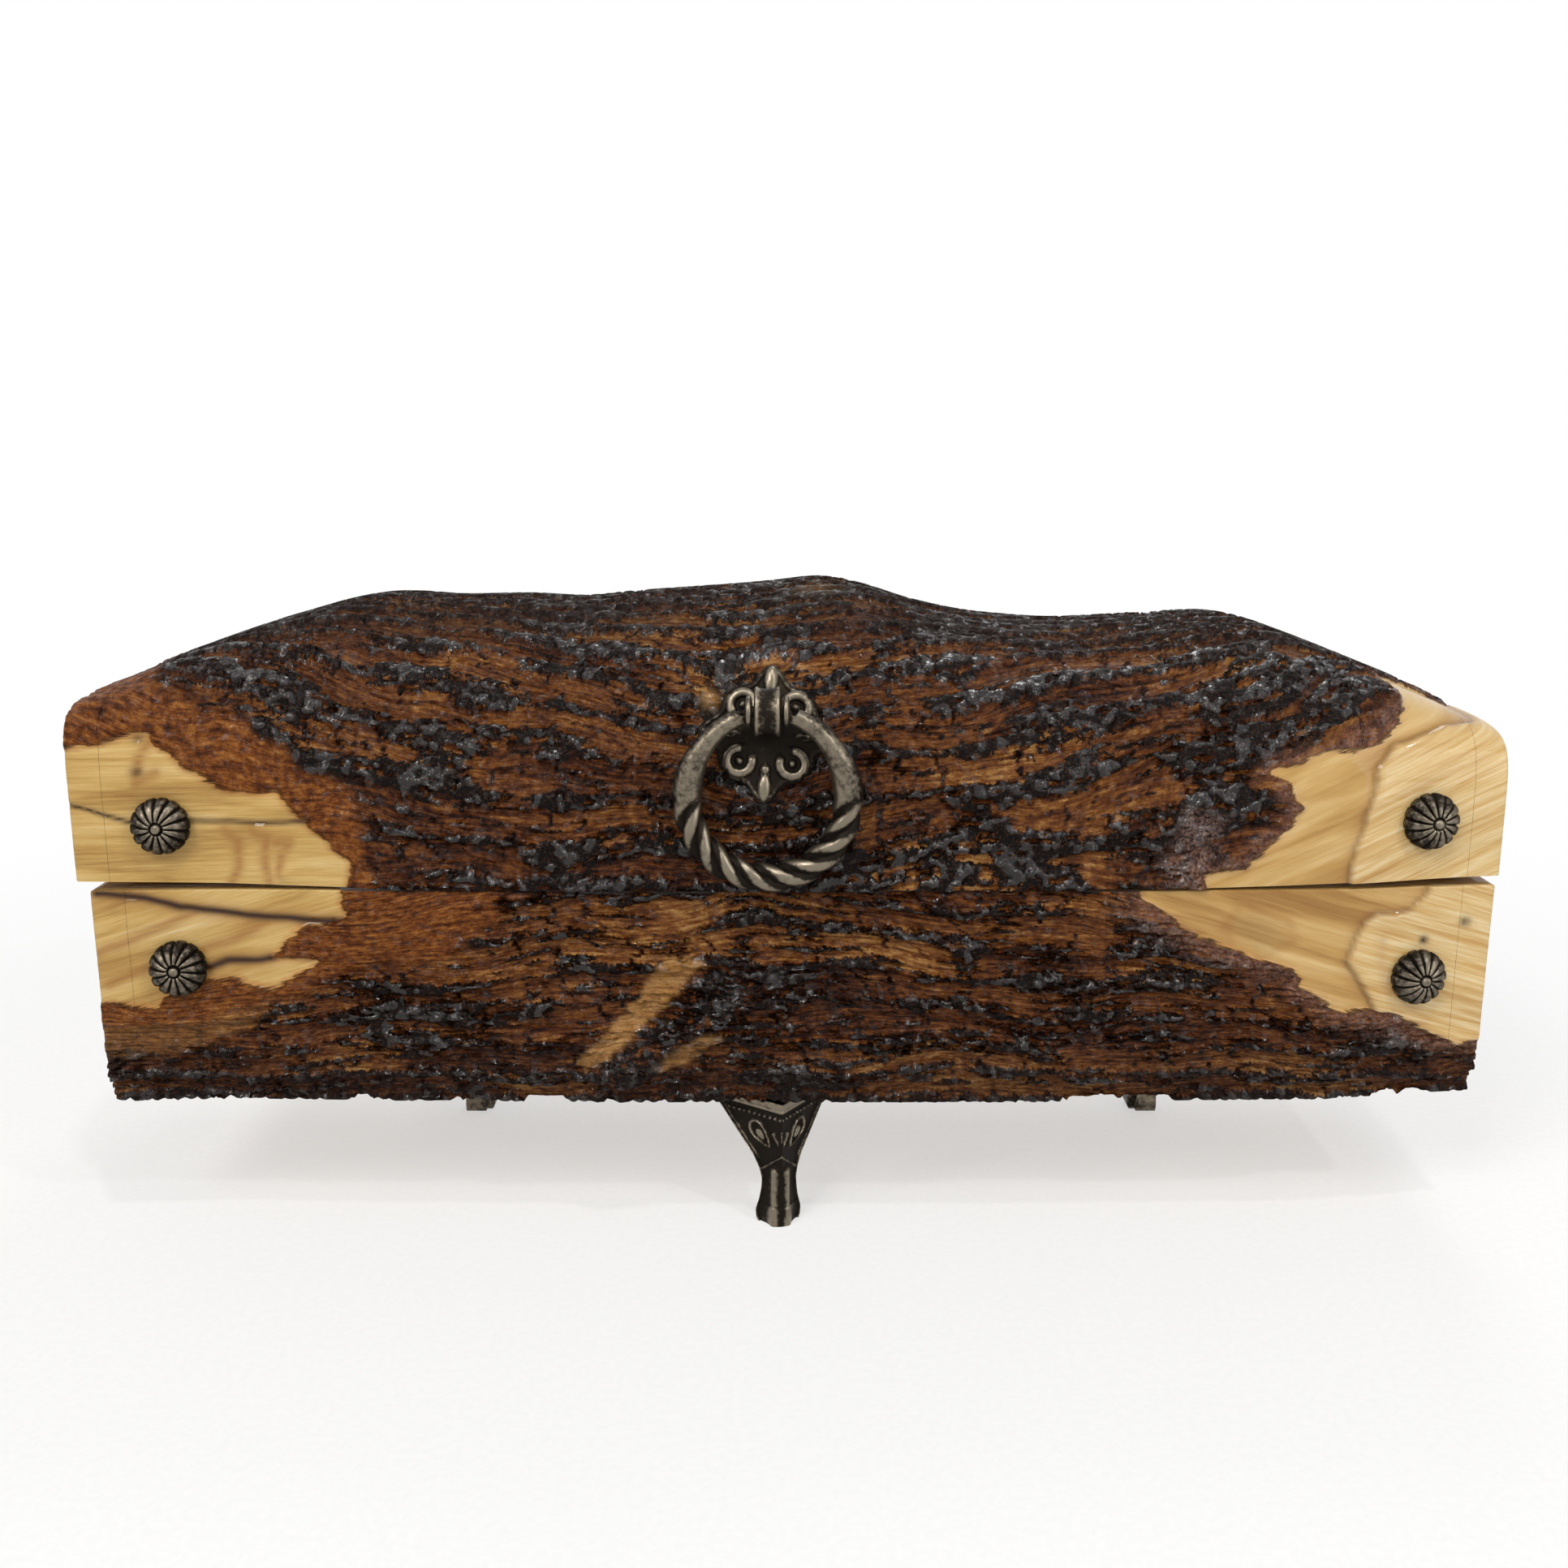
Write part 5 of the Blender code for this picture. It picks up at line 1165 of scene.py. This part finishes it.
def strap_piece(name):
    """The strap that leaves the rosette, rolls over the ring's pins and comes back, with two raised edges."""
    turn = np.linspace(-math.pi / 2, math.pi / 2, 40)
    out = np.concatenate([[0.9, 2.6, 4.6, 6.4], pin_out + 2.64 * np.cos(turn), [6.4, 4.6, 2.6, 0.9]])
    up = pin_up + np.concatenate([[-2.9, -3.2, -3.7, -4.15], 4.3 * np.sin(turn), [4.15, 3.7, 3.2, 2.9]])
    out, up = np.append(out, out[0]), np.append(up, up[0])
    cross = np.linspace(-1, 1, 27)[:, None]
    inset = 0.75 * (1 - np.sqrt(np.maximum(0, 1 - smooth((np.abs(cross) - 0.55) / 0.45) ** 2)))
    ridge = 0.22 * mound(np.abs(cross) - 0.62, 0.13) - 0.16 * mound(cross, 0.30)
    shrink = 1 - (inset - ridge) / 3.6
    us = 2.42 * np.sin(cross * math.pi / 2) * np.ones((1, len(out)))
    outs = np.where(out > 5, 7.0 + (out - 7.0) * shrink, out + 0 * cross)
    ups = pin_up + (up - pin_up) * shrink
    closing = []
    for k in (0, -1):
        for part in (0.6, 0.0):
            closing.append((us[k], 6.0 + (outs[k] - 6.0) * part, pin_up + (ups[k] - pin_up) * part))
    near_edge, near_middle, far_edge, far_middle = closing
    places = []
    for k, rows in enumerate((us, outs, ups)):
        places.append(np.concatenate([[near_middle[k], near_edge[k]], rows, [far_edge[k], far_middle[k]]]))
    us, outs, ups = places
    obj = grid_piece(name, on_seat(us, outs, ups))
    bright = np.concatenate([[0.1, 0.1], 0.42 + 2.2 * ridge[:, 0], [0.1, 0.1]])[:, None]
    bright = bright * (0.2 + 0.8 * smooth((outs - 5) / 5))
    add_values(obj, {"wear_and_highlight": np.clip(bright, 0, 1)})
    return obj


def ring_line():
    """The ring's middle line and radius: left pin and collar, round the ring, and the same on the right."""
    points = list(ring_pin)
    start = math.asin(4.9 / ring_hang)
    for angle in np.linspace(start, 2 * math.pi - start, 300):
        near = ((1 + math.cos(angle)) / 2) ** 6
        reach = ring_radius + 1.55 * near
        thick = float(smooth((1 - math.cos(angle)) * 1.15))
        points.append((-reach * math.sin(angle), reach * math.cos(angle) - ring_hang, 1.6 + 1.15 * thick))
    points += [(-x, z, radius) for x, z, radius in reversed(ring_pin)]
    return np.array(points).T


def ring_piece(name):
    """The ring: pins in the strap, a collar each side, and a lower half twisted like rope."""
    x, z, radius = ring_line()
    run = np.concatenate([[0], np.cumsum(np.hypot(np.diff(x), np.diff(z)))])
    dx, dz = np.gradient(x), np.gradient(z)
    size = np.maximum(np.hypot(dx, dz), 1e-9)
    side = np.stack([dz / size, -dx / size], -1)
    side[:len(ring_pin)] = (0, -1)
    side[-len(ring_pin):] = (0, -1)
    turn = np.linspace(0, 2 * math.pi, 49)[None]
    low = smooth((-z - 14.6) / 4.6)[:, None]
    swirl = np.abs(np.cos(strands / 2 * (turn - 2 * math.pi * run[:, None] / strand_lead)))
    valley = 1 - swirl ** 0.75
    thick = radius[:, None] * (1 - 0.40 * low * valley)
    px = x[:, None] + side[:, :1] * thick * np.cos(turn)
    pz = z[:, None] + side[:, 1:] * thick * np.cos(turn)
    py = thick * np.sin(turn)
    obj = grid_piece(name, ring_axis + np.stack([px, py, pz], -1))
    # Painted highlight: the ring's tube is made brighter on its side toward the front and darker toward its
    # back, as the lamps would light it; the dark valleys and bright crowns of the strands added below are
    # patina and wear.
    wear_and_highlight = 0.30 + 0.42 * smooth(0.35 - 0.8 * np.sin(turn + 0.5))
    wear_and_highlight = wear_and_highlight - 1.1 * low * smooth(valley * 1.7) + 0.25 * low * swirl ** 2
    add_values(obj, {"wear_and_highlight": np.clip(wear_and_highlight * np.ones(px.shape), 0, 1)})
    return obj


# The feet: height, length of a face and thickness of its wall, from the sole to the flange
foot_table = (
    (0.0, 5.8, 4.5), (0.75, 6.37, 4.94), (2.5, 6.5, 4.8), (5.0, 5.6, 4.0), (7.6, 5.05, 3.7), (9.6, 4.9, 3.6),
    (11.6, 5.5, 3.0), (14.1, 6.96, 2.4), (18.1, 10.7, 1.84), (22.2, 14.4, 1.6), (24.2, 16.3, 1.6),
    (25.3, 17.1, 1.6),
)
# The flange on top of a foot: size of each ring of its closed slab, its height and its brightness
flange_table = (
    (0.0, 25.2, 0.2), (0.93, 25.2, 0.2), (0.985, 25.3, 0.6), (1.0, 25.6, 0.95),
    (1.0, 26.3, 0.95), (0.985, 26.58, 0.6), (0.93, 26.6, 0.2), (0.0, 26.6, 0.2),
)
foot_inset, sole_half, foot_spacing = 1.0, 4.2, 54.8
flange_reach = 17.2
diagonal = math.sqrt(0.5)


def foot_relief(q, z, arm):
    """Cast ornament on one outer face, from the distance to the corner and the height."""
    relief = 0.26 * mound(arm - q - 0.9, 0.28) * smooth((z - 12.5) / 1.5)
    relief = np.maximum(relief, 0.40 * smooth((z - 24.2) / 0.3))
    bead = np.hypot((q / 1.25 - np.floor(q / 1.25) - 0.5) * 1.25, z - 22.9)
    relief = np.maximum(relief, 0.34 * mound(bead, 0.36) * (q < arm - 1.4))
    drop_q, drop_z, lean = 5.4, 18.9, 0.75
    a = (q - drop_q) * math.cos(lean) + (z - drop_z) * math.sin(lean)
    b = (z - drop_z) * math.cos(lean) - (q - drop_q) * math.sin(lean)
    drop = np.hypot(a / 3.0, b / (1.45 + 0.22 * a))
    relief = np.maximum(relief, 0.36 * mound(drop - 1.0, 0.15))
    relief = np.maximum(relief, 0.34 * smooth((0.55 - drop) / 0.2))
    relief = relief - 0.18 * mound(drop - 0.78, 0.12)
    angle, far = np.arctan2(q, z - 16.2), np.hypot(q, z - 16.2)
    fan = (0.5 + 0.5 * np.cos(angle * 10)) * smooth((far - 1.0) / 0.5) * smooth((4.6 - far) / 0.4)
    relief = np.maximum(relief, 0.30 * (fan * smooth((0.75 - angle) / 0.1)))
    relief = np.maximum(relief, 0.36 * mound(z - 15.4 + 0.75 * q, 0.35) * (q < 5.5))
    relief = np.maximum(relief, 0.45 * (mound(q - 2.0, 1.0) * smooth((13.0 - z) / 1.5)))
    relief = relief - 0.5 * mound(q, 0.55) * smooth((12.5 - z) / 1.5)
    toe = smooth((4.6 - z) / 0.8)
    relief = relief + 0.2 * toe * mound(q - 3.0, 1.4) - 0.3 * toe * mound(z - 4.3, 0.35)
    return relief - 0.3


def foot_place(x, y, z, corner, turn):
    """Places turned about the vertical and moved to a foot's corner."""
    c, s = math.cos(turn), math.sin(turn)
    return np.stack([corner[0] + x * c - y * s, corner[1] + x * s + y * c, z], -1)


def foot_body(name, corner, turn):
    """Two ornamented faces that meet in a vertical edge, with the foot's inner face behind them."""
    zs = np.linspace(0, foot_table[-1][0], 120)
    knots, arms, walls = np.array(foot_table).T
    arm, wall = np.interp(zs, knots, arms), np.interp(zs, knots, walls)
    for values in (arm, wall):
        for _ in range(6):
            values[1:-1] = (values[:-2] + 2 * values[1:-1] + values[2:]) / 4
    face = np.linspace(0.0, 1, 64)[None]
    arm, wall, z = arm[:, None], wall[:, None], zs[:, None]
    q = 0.25 + (arm - 0.25) * face
    relief = 1.5 * foot_relief(q, z, arm) * smooth((1 - face) / 0.04) * smooth((25.2 - z) / 0.5)
    right_x, right_y = q * diagonal + relief * diagonal, q * diagonal - relief * diagonal
    inner = np.linspace(0, 1, 12)[None]
    back_x = (arm - wall) * diagonal * (1 - inner)
    back_y = (arm + wall) * diagonal * (1 - inner) + wall / diagonal * inner
    xs = np.concatenate([right_x, back_x, -back_x[:, ::-1][:, 1:], -right_x[:, ::-1]], axis=1)
    ys = np.concatenate([right_y, back_y, back_y[:, ::-1][:, 1:], right_y[:, ::-1]], axis=1)
    plain = 0 * back_x - 0.1
    relief = np.concatenate([relief, plain, plain[:, 1:], relief[:, ::-1]], axis=1)
    xs, ys, zs = (closed_round(values) for values in (xs, ys, np.broadcast_to(z, xs.shape)))
    obj = grid_piece(name, foot_place(xs, ys, zs, corner, turn))
    add_values(obj, {"wear_and_highlight": closed_round(np.clip(1.55 * (relief + 0.45), 0, 1))})
    return obj


def foot_flange(name, corner, turn):
    """The three-cornered flange that is screwed to the base's underside."""
    reach, out = flange_reach * diagonal, 0.5 / diagonal
    outline = np.array([
        (0, -out), (reach + out, reach), (reach, reach + 0.5), (-reach, reach + 0.5), (-reach - out, reach),
        (0, -out),
    ])
    steps = np.linspace(0, 1, 13)[:-1, None]
    sides = [a + (b - a) * steps for a, b in zip(outline, outline[1:])]
    fine = np.concatenate(sides + [outline[:1]])
    middle = np.array([0, reach * 0.62])
    rows, bright = [], []
    for share, level, shine in flange_table:
        rim = middle + (fine - middle) * share
        rows.append(foot_place(rim[:, 0], rim[:, 1], np.full(len(rim), level), corner, turn))
        bright.append(np.full(len(rim), shine))
    plate = grid_piece(name, np.array(rows))
    add_values(plate, {"wear_and_highlight": np.array(bright)})
    return plate


def lining_piece(name, in_lid):
    """Felt laid in the hollow, short of its rim, with a soft uneven face; and its flat width and length."""
    middle, half, _ = log_form(in_lid)
    xs = np.linspace(middle - half + slice_width + 0.5, middle + half - slice_width - 0.5, 120)
    way = -1 if in_lid else 1
    rows, width = [], 0.0
    for x in xs:
        y, z = trough_line(x, in_lid)
        y, z = resample(y[::-1], z[::-1], 60)
        dy, dz = np.gradient(y), np.gradient(z)
        size = np.hypot(dy, dz)
        ny, nz = -way * dz / size, way * dy / size
        z = np.where(np.abs(z - z[0]) < 2, z[0] - way * 2, z)
        thick = 1.5 + 0.10 * rough(np.full(60, x) / 9, np.arange(60) / 5, 71 + way, 2)
        outer = np.stack([np.full(60, x), y + ny * 0.3, z + nz * 0.3], -1)
        inner = np.stack([np.full(60, x), y + ny * thick, z + nz * thick], -1)
        rows.append(np.concatenate([outer, inner[::-1], outer[:1]]))
        width = max(width, float(np.hypot(np.diff(y), np.diff(z)).sum()))
    obj = grid_piece(name, np.array(rows))
    return obj, (width * millimetre, (xs[-1] - xs[0]) * millimetre)


class LOGBOX_OT_tacks(bpy.types.Operator):
    """Builds the four daisy headed tacks"""

    bl_idname = "log_box.tacks"
    bl_label = "Daisy Tacks"

    def execute(self, context):
        coat = shared("antique_bronze", bronze_material)
        for body in ("lid", "base"):
            for label in ("left", "right"):
                node = f"{body}_tack_{label}"
                piece = daisy_tack(node + "_daisy", node)
                close_piece(piece, coat, 50, body, (node,))
        return {"FINISHED"}


class LOGBOX_OT_pull(bpy.types.Operator):
    """Builds the ring pull: rosette, strap and twisted ring"""

    bl_idname = "log_box.pull"
    bl_label = "Ring Pull"

    def execute(self, context):
        coat = shared("antique_bronze", bronze_material)
        close_piece(rosette_piece("pull_rosette"), coat, 50, "lid", ("pull_plate",))
        close_piece(strap_piece("pull_strap"), coat, 50, "lid", ("pull_plate",))
        close_piece(ring_piece("twisted_ring"), coat, 50, "ring", ("pull_ring",))
        return {"FINISHED"}


class LOGBOX_OT_feet(bpy.types.Operator):
    """Builds the three cast corner feet"""

    bl_idname = "log_box.feet"
    bl_label = "Cast Feet"

    def execute(self, context):
        coat = shared("antique_bronze", bronze_material)
        toe = sole_half * diagonal
        rear = front + foot_inset + sole_half + foot_spacing
        feet = (
            ("front_foot", (-2.0, front + foot_inset), 0.175),
            ("rear_left_foot", (-72.8 - toe, rear + toe), -0.75 * math.pi),
            ("rear_right_foot", (82.2 + toe, rear + toe), 0.75 * math.pi),
        )
        for node, corner, turn in feet:
            cast = foot_body(node + "_cast", corner, turn)
            flange = foot_flange(node + "_flange", corner, turn)
            close_piece(cast, coat, 45, "base", (node,))
            close_piece(flange, coat, 45, "base", (node,))
        return {"FINISHED"}


class LOGBOX_OT_fixings(bpy.types.Operator):
    """Builds the screws and finishes the hinges"""

    bl_idname = "log_box.fixings"
    bl_label = "Hinges And Screws"

    def execute(self, context):
        coat = shared("antique_bronze", bronze_material)
        plain = shared("aged_bronze", plain_bronze_material)
        for node, obj in sorted(frame["nodes"].items()):
            body = obj["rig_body"]
            if "_screw" in node:
                toward = (0, 0, -1) if "foot" in node else (0, 1, 0)
                if "pull" in node:
                    toward = tuple(-lean_out)
                piece = cross_screw(node + "_cross", node, toward)
                close_piece(piece, coat, 40, body, (node,))
            elif node.startswith("hinge"):
                obj.data.materials.clear()
                obj.data.materials.append(plain)
        return {"FINISHED"}


class LOGBOX_OT_linings(bpy.types.Operator):
    """Lays the felt linings in the lid and the base"""

    bl_idname = "log_box.linings"
    bl_label = "Felt Linings"

    def execute(self, context):
        coat = shared("brown_felt", felt_material)
        for body, in_lid in (("lid", True), ("base", False)):
            piece, flat = lining_piece(body + "_felt", in_lid)
            close_piece(piece, coat, 60, body, (body + "_lining",))
        return {"FINISHED"}


def lamp(name, place, size, power, tint):
    """A soft square lamp that looks at the middle of the box."""
    target = (0, 0, 0.07)
    bpy.ops.object.light_add(type="AREA", location=place)
    obj = bpy.context.object
    obj.name = name
    obj.rotation_euler = (Vector(target) - Vector(place)).to_track_quat("-Z", "Y").to_euler()
    obj.data.size, obj.data.energy, obj.data.color = size, power, tint
    return obj


def paper_material():
    """Pale paper that keeps the object's shadow and fades to white away from it."""
    n = Nodes("studio_paper")
    grain = n.noise(n.object, 700, 3)
    tint = n.ramp(grain, ((0.4, "#e9e8e6"), (0.6, "#eeedeb")))
    paper = n.finish(tint, 0.9, n.bump(grain, 0.0001, 0.12), specular_ior_level=0.1)
    far = n.length(n.object)
    white = n.add("ShaderNodeEmission", {"Color": (1, 1, 1, 1), "Strength": 1.0}).outputs[0]
    path = n.add("ShaderNodeLightPath").outputs
    seen = n.sum(path["Is Camera Ray"], path["Is Transmission Ray"])
    seen = n.sum(seen, path["Is Glossy Ray"], clamp=True)
    share = n.times(n.between(far, 0.16, 0.42, 0.55, 1.0), seen)
    blend = n.add("ShaderNodeMixShader", {0: share, 1: n.skin.outputs[0], 2: white})
    n.tree.links.new(blend.outputs[0], n.out.inputs[0])
    return paper


def studio_floor():
    """A floor of pale paper."""
    rows = [[(x * 1000, y * 1000, 0) for x in np.linspace(-6, 6, 9)] for y in np.linspace(-4, 14, 10)]
    floor = grid_piece("studio_floor", np.array(rows))
    floor.data.materials.append(paper_material())
    return floor


def background(tree, tint, strength):
    """One even background light."""
    node = tree.nodes.new("ShaderNodeBackground")
    node.inputs["Color"].default_value, node.inputs["Strength"].default_value = tint, strength
    return node


def studio_world():
    """Soft light from all round, and plain white where the camera sees past the floor."""
    world = bpy.data.worlds.new("studio")
    world.use_nodes = True
    tree = world.node_tree
    tree.nodes.clear()
    soft = background(tree, (0.92, 0.96, 1, 1), 0.42)
    white = background(tree, (1, 1, 1, 1), 1.0)
    path = tree.nodes.new("ShaderNodeLightPath").outputs
    first, both = tree.nodes.new("ShaderNodeMath"), tree.nodes.new("ShaderNodeMath")
    first.use_clamp = both.use_clamp = True
    pick, out = tree.nodes.new("ShaderNodeMixShader"), tree.nodes.new("ShaderNodeOutputWorld")
    for source, socket in (
            (path["Is Camera Ray"], first.inputs[0]), (path["Is Transmission Ray"], first.inputs[1]),
            (first.outputs[0], both.inputs[0]), (path["Is Glossy Ray"], both.inputs[1]),
            (both.outputs[0], pick.inputs[0]), (soft.outputs[0], pick.inputs[1]),
            (white.outputs[0], pick.inputs[2]), (pick.outputs[0], out.inputs[0])):
        tree.links.new(source, socket)
    return world


class LOGBOX_OT_stage(bpy.types.Operator):
    """Sets a pale floor, soft lamps and the camera"""

    bl_idname = "log_box.stage"
    bl_label = "Stage"

    def execute(self, context):
        studio_floor()
        lamp("key_lamp", (-0.50, -0.80, 0.95), 0.45, 8.0, (1, 0.98, 0.95))
        lamp("left_spark", (-0.85, -0.60, 0.45), 0.045, 1.1, (1, 0.98, 0.95))
        lamp("right_spark", (0.60, -0.60, 0.80), 0.045, 2.0, (0.97, 0.98, 1))
        lamp("high_spark", (0.12, -0.45, 1.05), 0.05, 2.2, (1, 1, 1))
        lamp("fill_lamp", (0.85, -0.75, 0.35), 0.6, 2.6, (0.97, 0.98, 1))
        lamp("back_lamp", (0.25, 0.75, 0.9), 0.4, 3.0, (1, 1, 1))
        context.scene.world = studio_world()
        place = (-0.0016, front * millimetre - 0.286, 0.1544)
        bpy.ops.object.camera_add(location=place, rotation=(math.radians(77.5), 0, 0))
        camera = context.object
        camera.data.lens, camera.data.sensor_width = 36.15, 36
        context.scene.camera = camera
        context.scene.view_settings.view_transform = "Standard"
        return {"FINISHED"}


class LOGBOX_PT_panel(bpy.types.Panel):
    """Lists the box's looks and its pieces"""

    bl_label = "Log Jewellery Box"
    bl_idname = "LOGBOX_PT_panel"
    bl_space_type = "VIEW_3D"
    bl_region_type = "UI"
    bl_category = "Log Box"

    def draw(self, context):
        for name in ("wood_tone", "figure_dark", "varnish", "bronze_tone", "patina_tone", "felt_tone"):
            self.layout.prop(context.scene.log_box_look, name)
        for step in operators:
            self.layout.operator(step.bl_idname)


operators = (
    LOGBOX_OT_lid, LOGBOX_OT_base, LOGBOX_OT_tacks, LOGBOX_OT_pull, LOGBOX_OT_feet, LOGBOX_OT_fixings,
    LOGBOX_OT_linings, LOGBOX_OT_stage,
)


def register():
    for item in (LogBoxLook,) + operators + (LOGBOX_PT_panel,):
        bpy.utils.register_class(item)
    bpy.types.Scene.log_box_look = bpy.props.PointerProperty(type=LogBoxLook)


def unregister():
    del bpy.types.Scene.log_box_look
    for item in reversed((LogBoxLook,) + operators + (LOGBOX_PT_panel,)):
        bpy.utils.unregister_class(item)


def main():
    register()
    for step in operators:
        group, name = step.bl_idname.split(".")
        getattr(getattr(bpy.ops, group), name)()


if __name__ == "__main__":
    main()
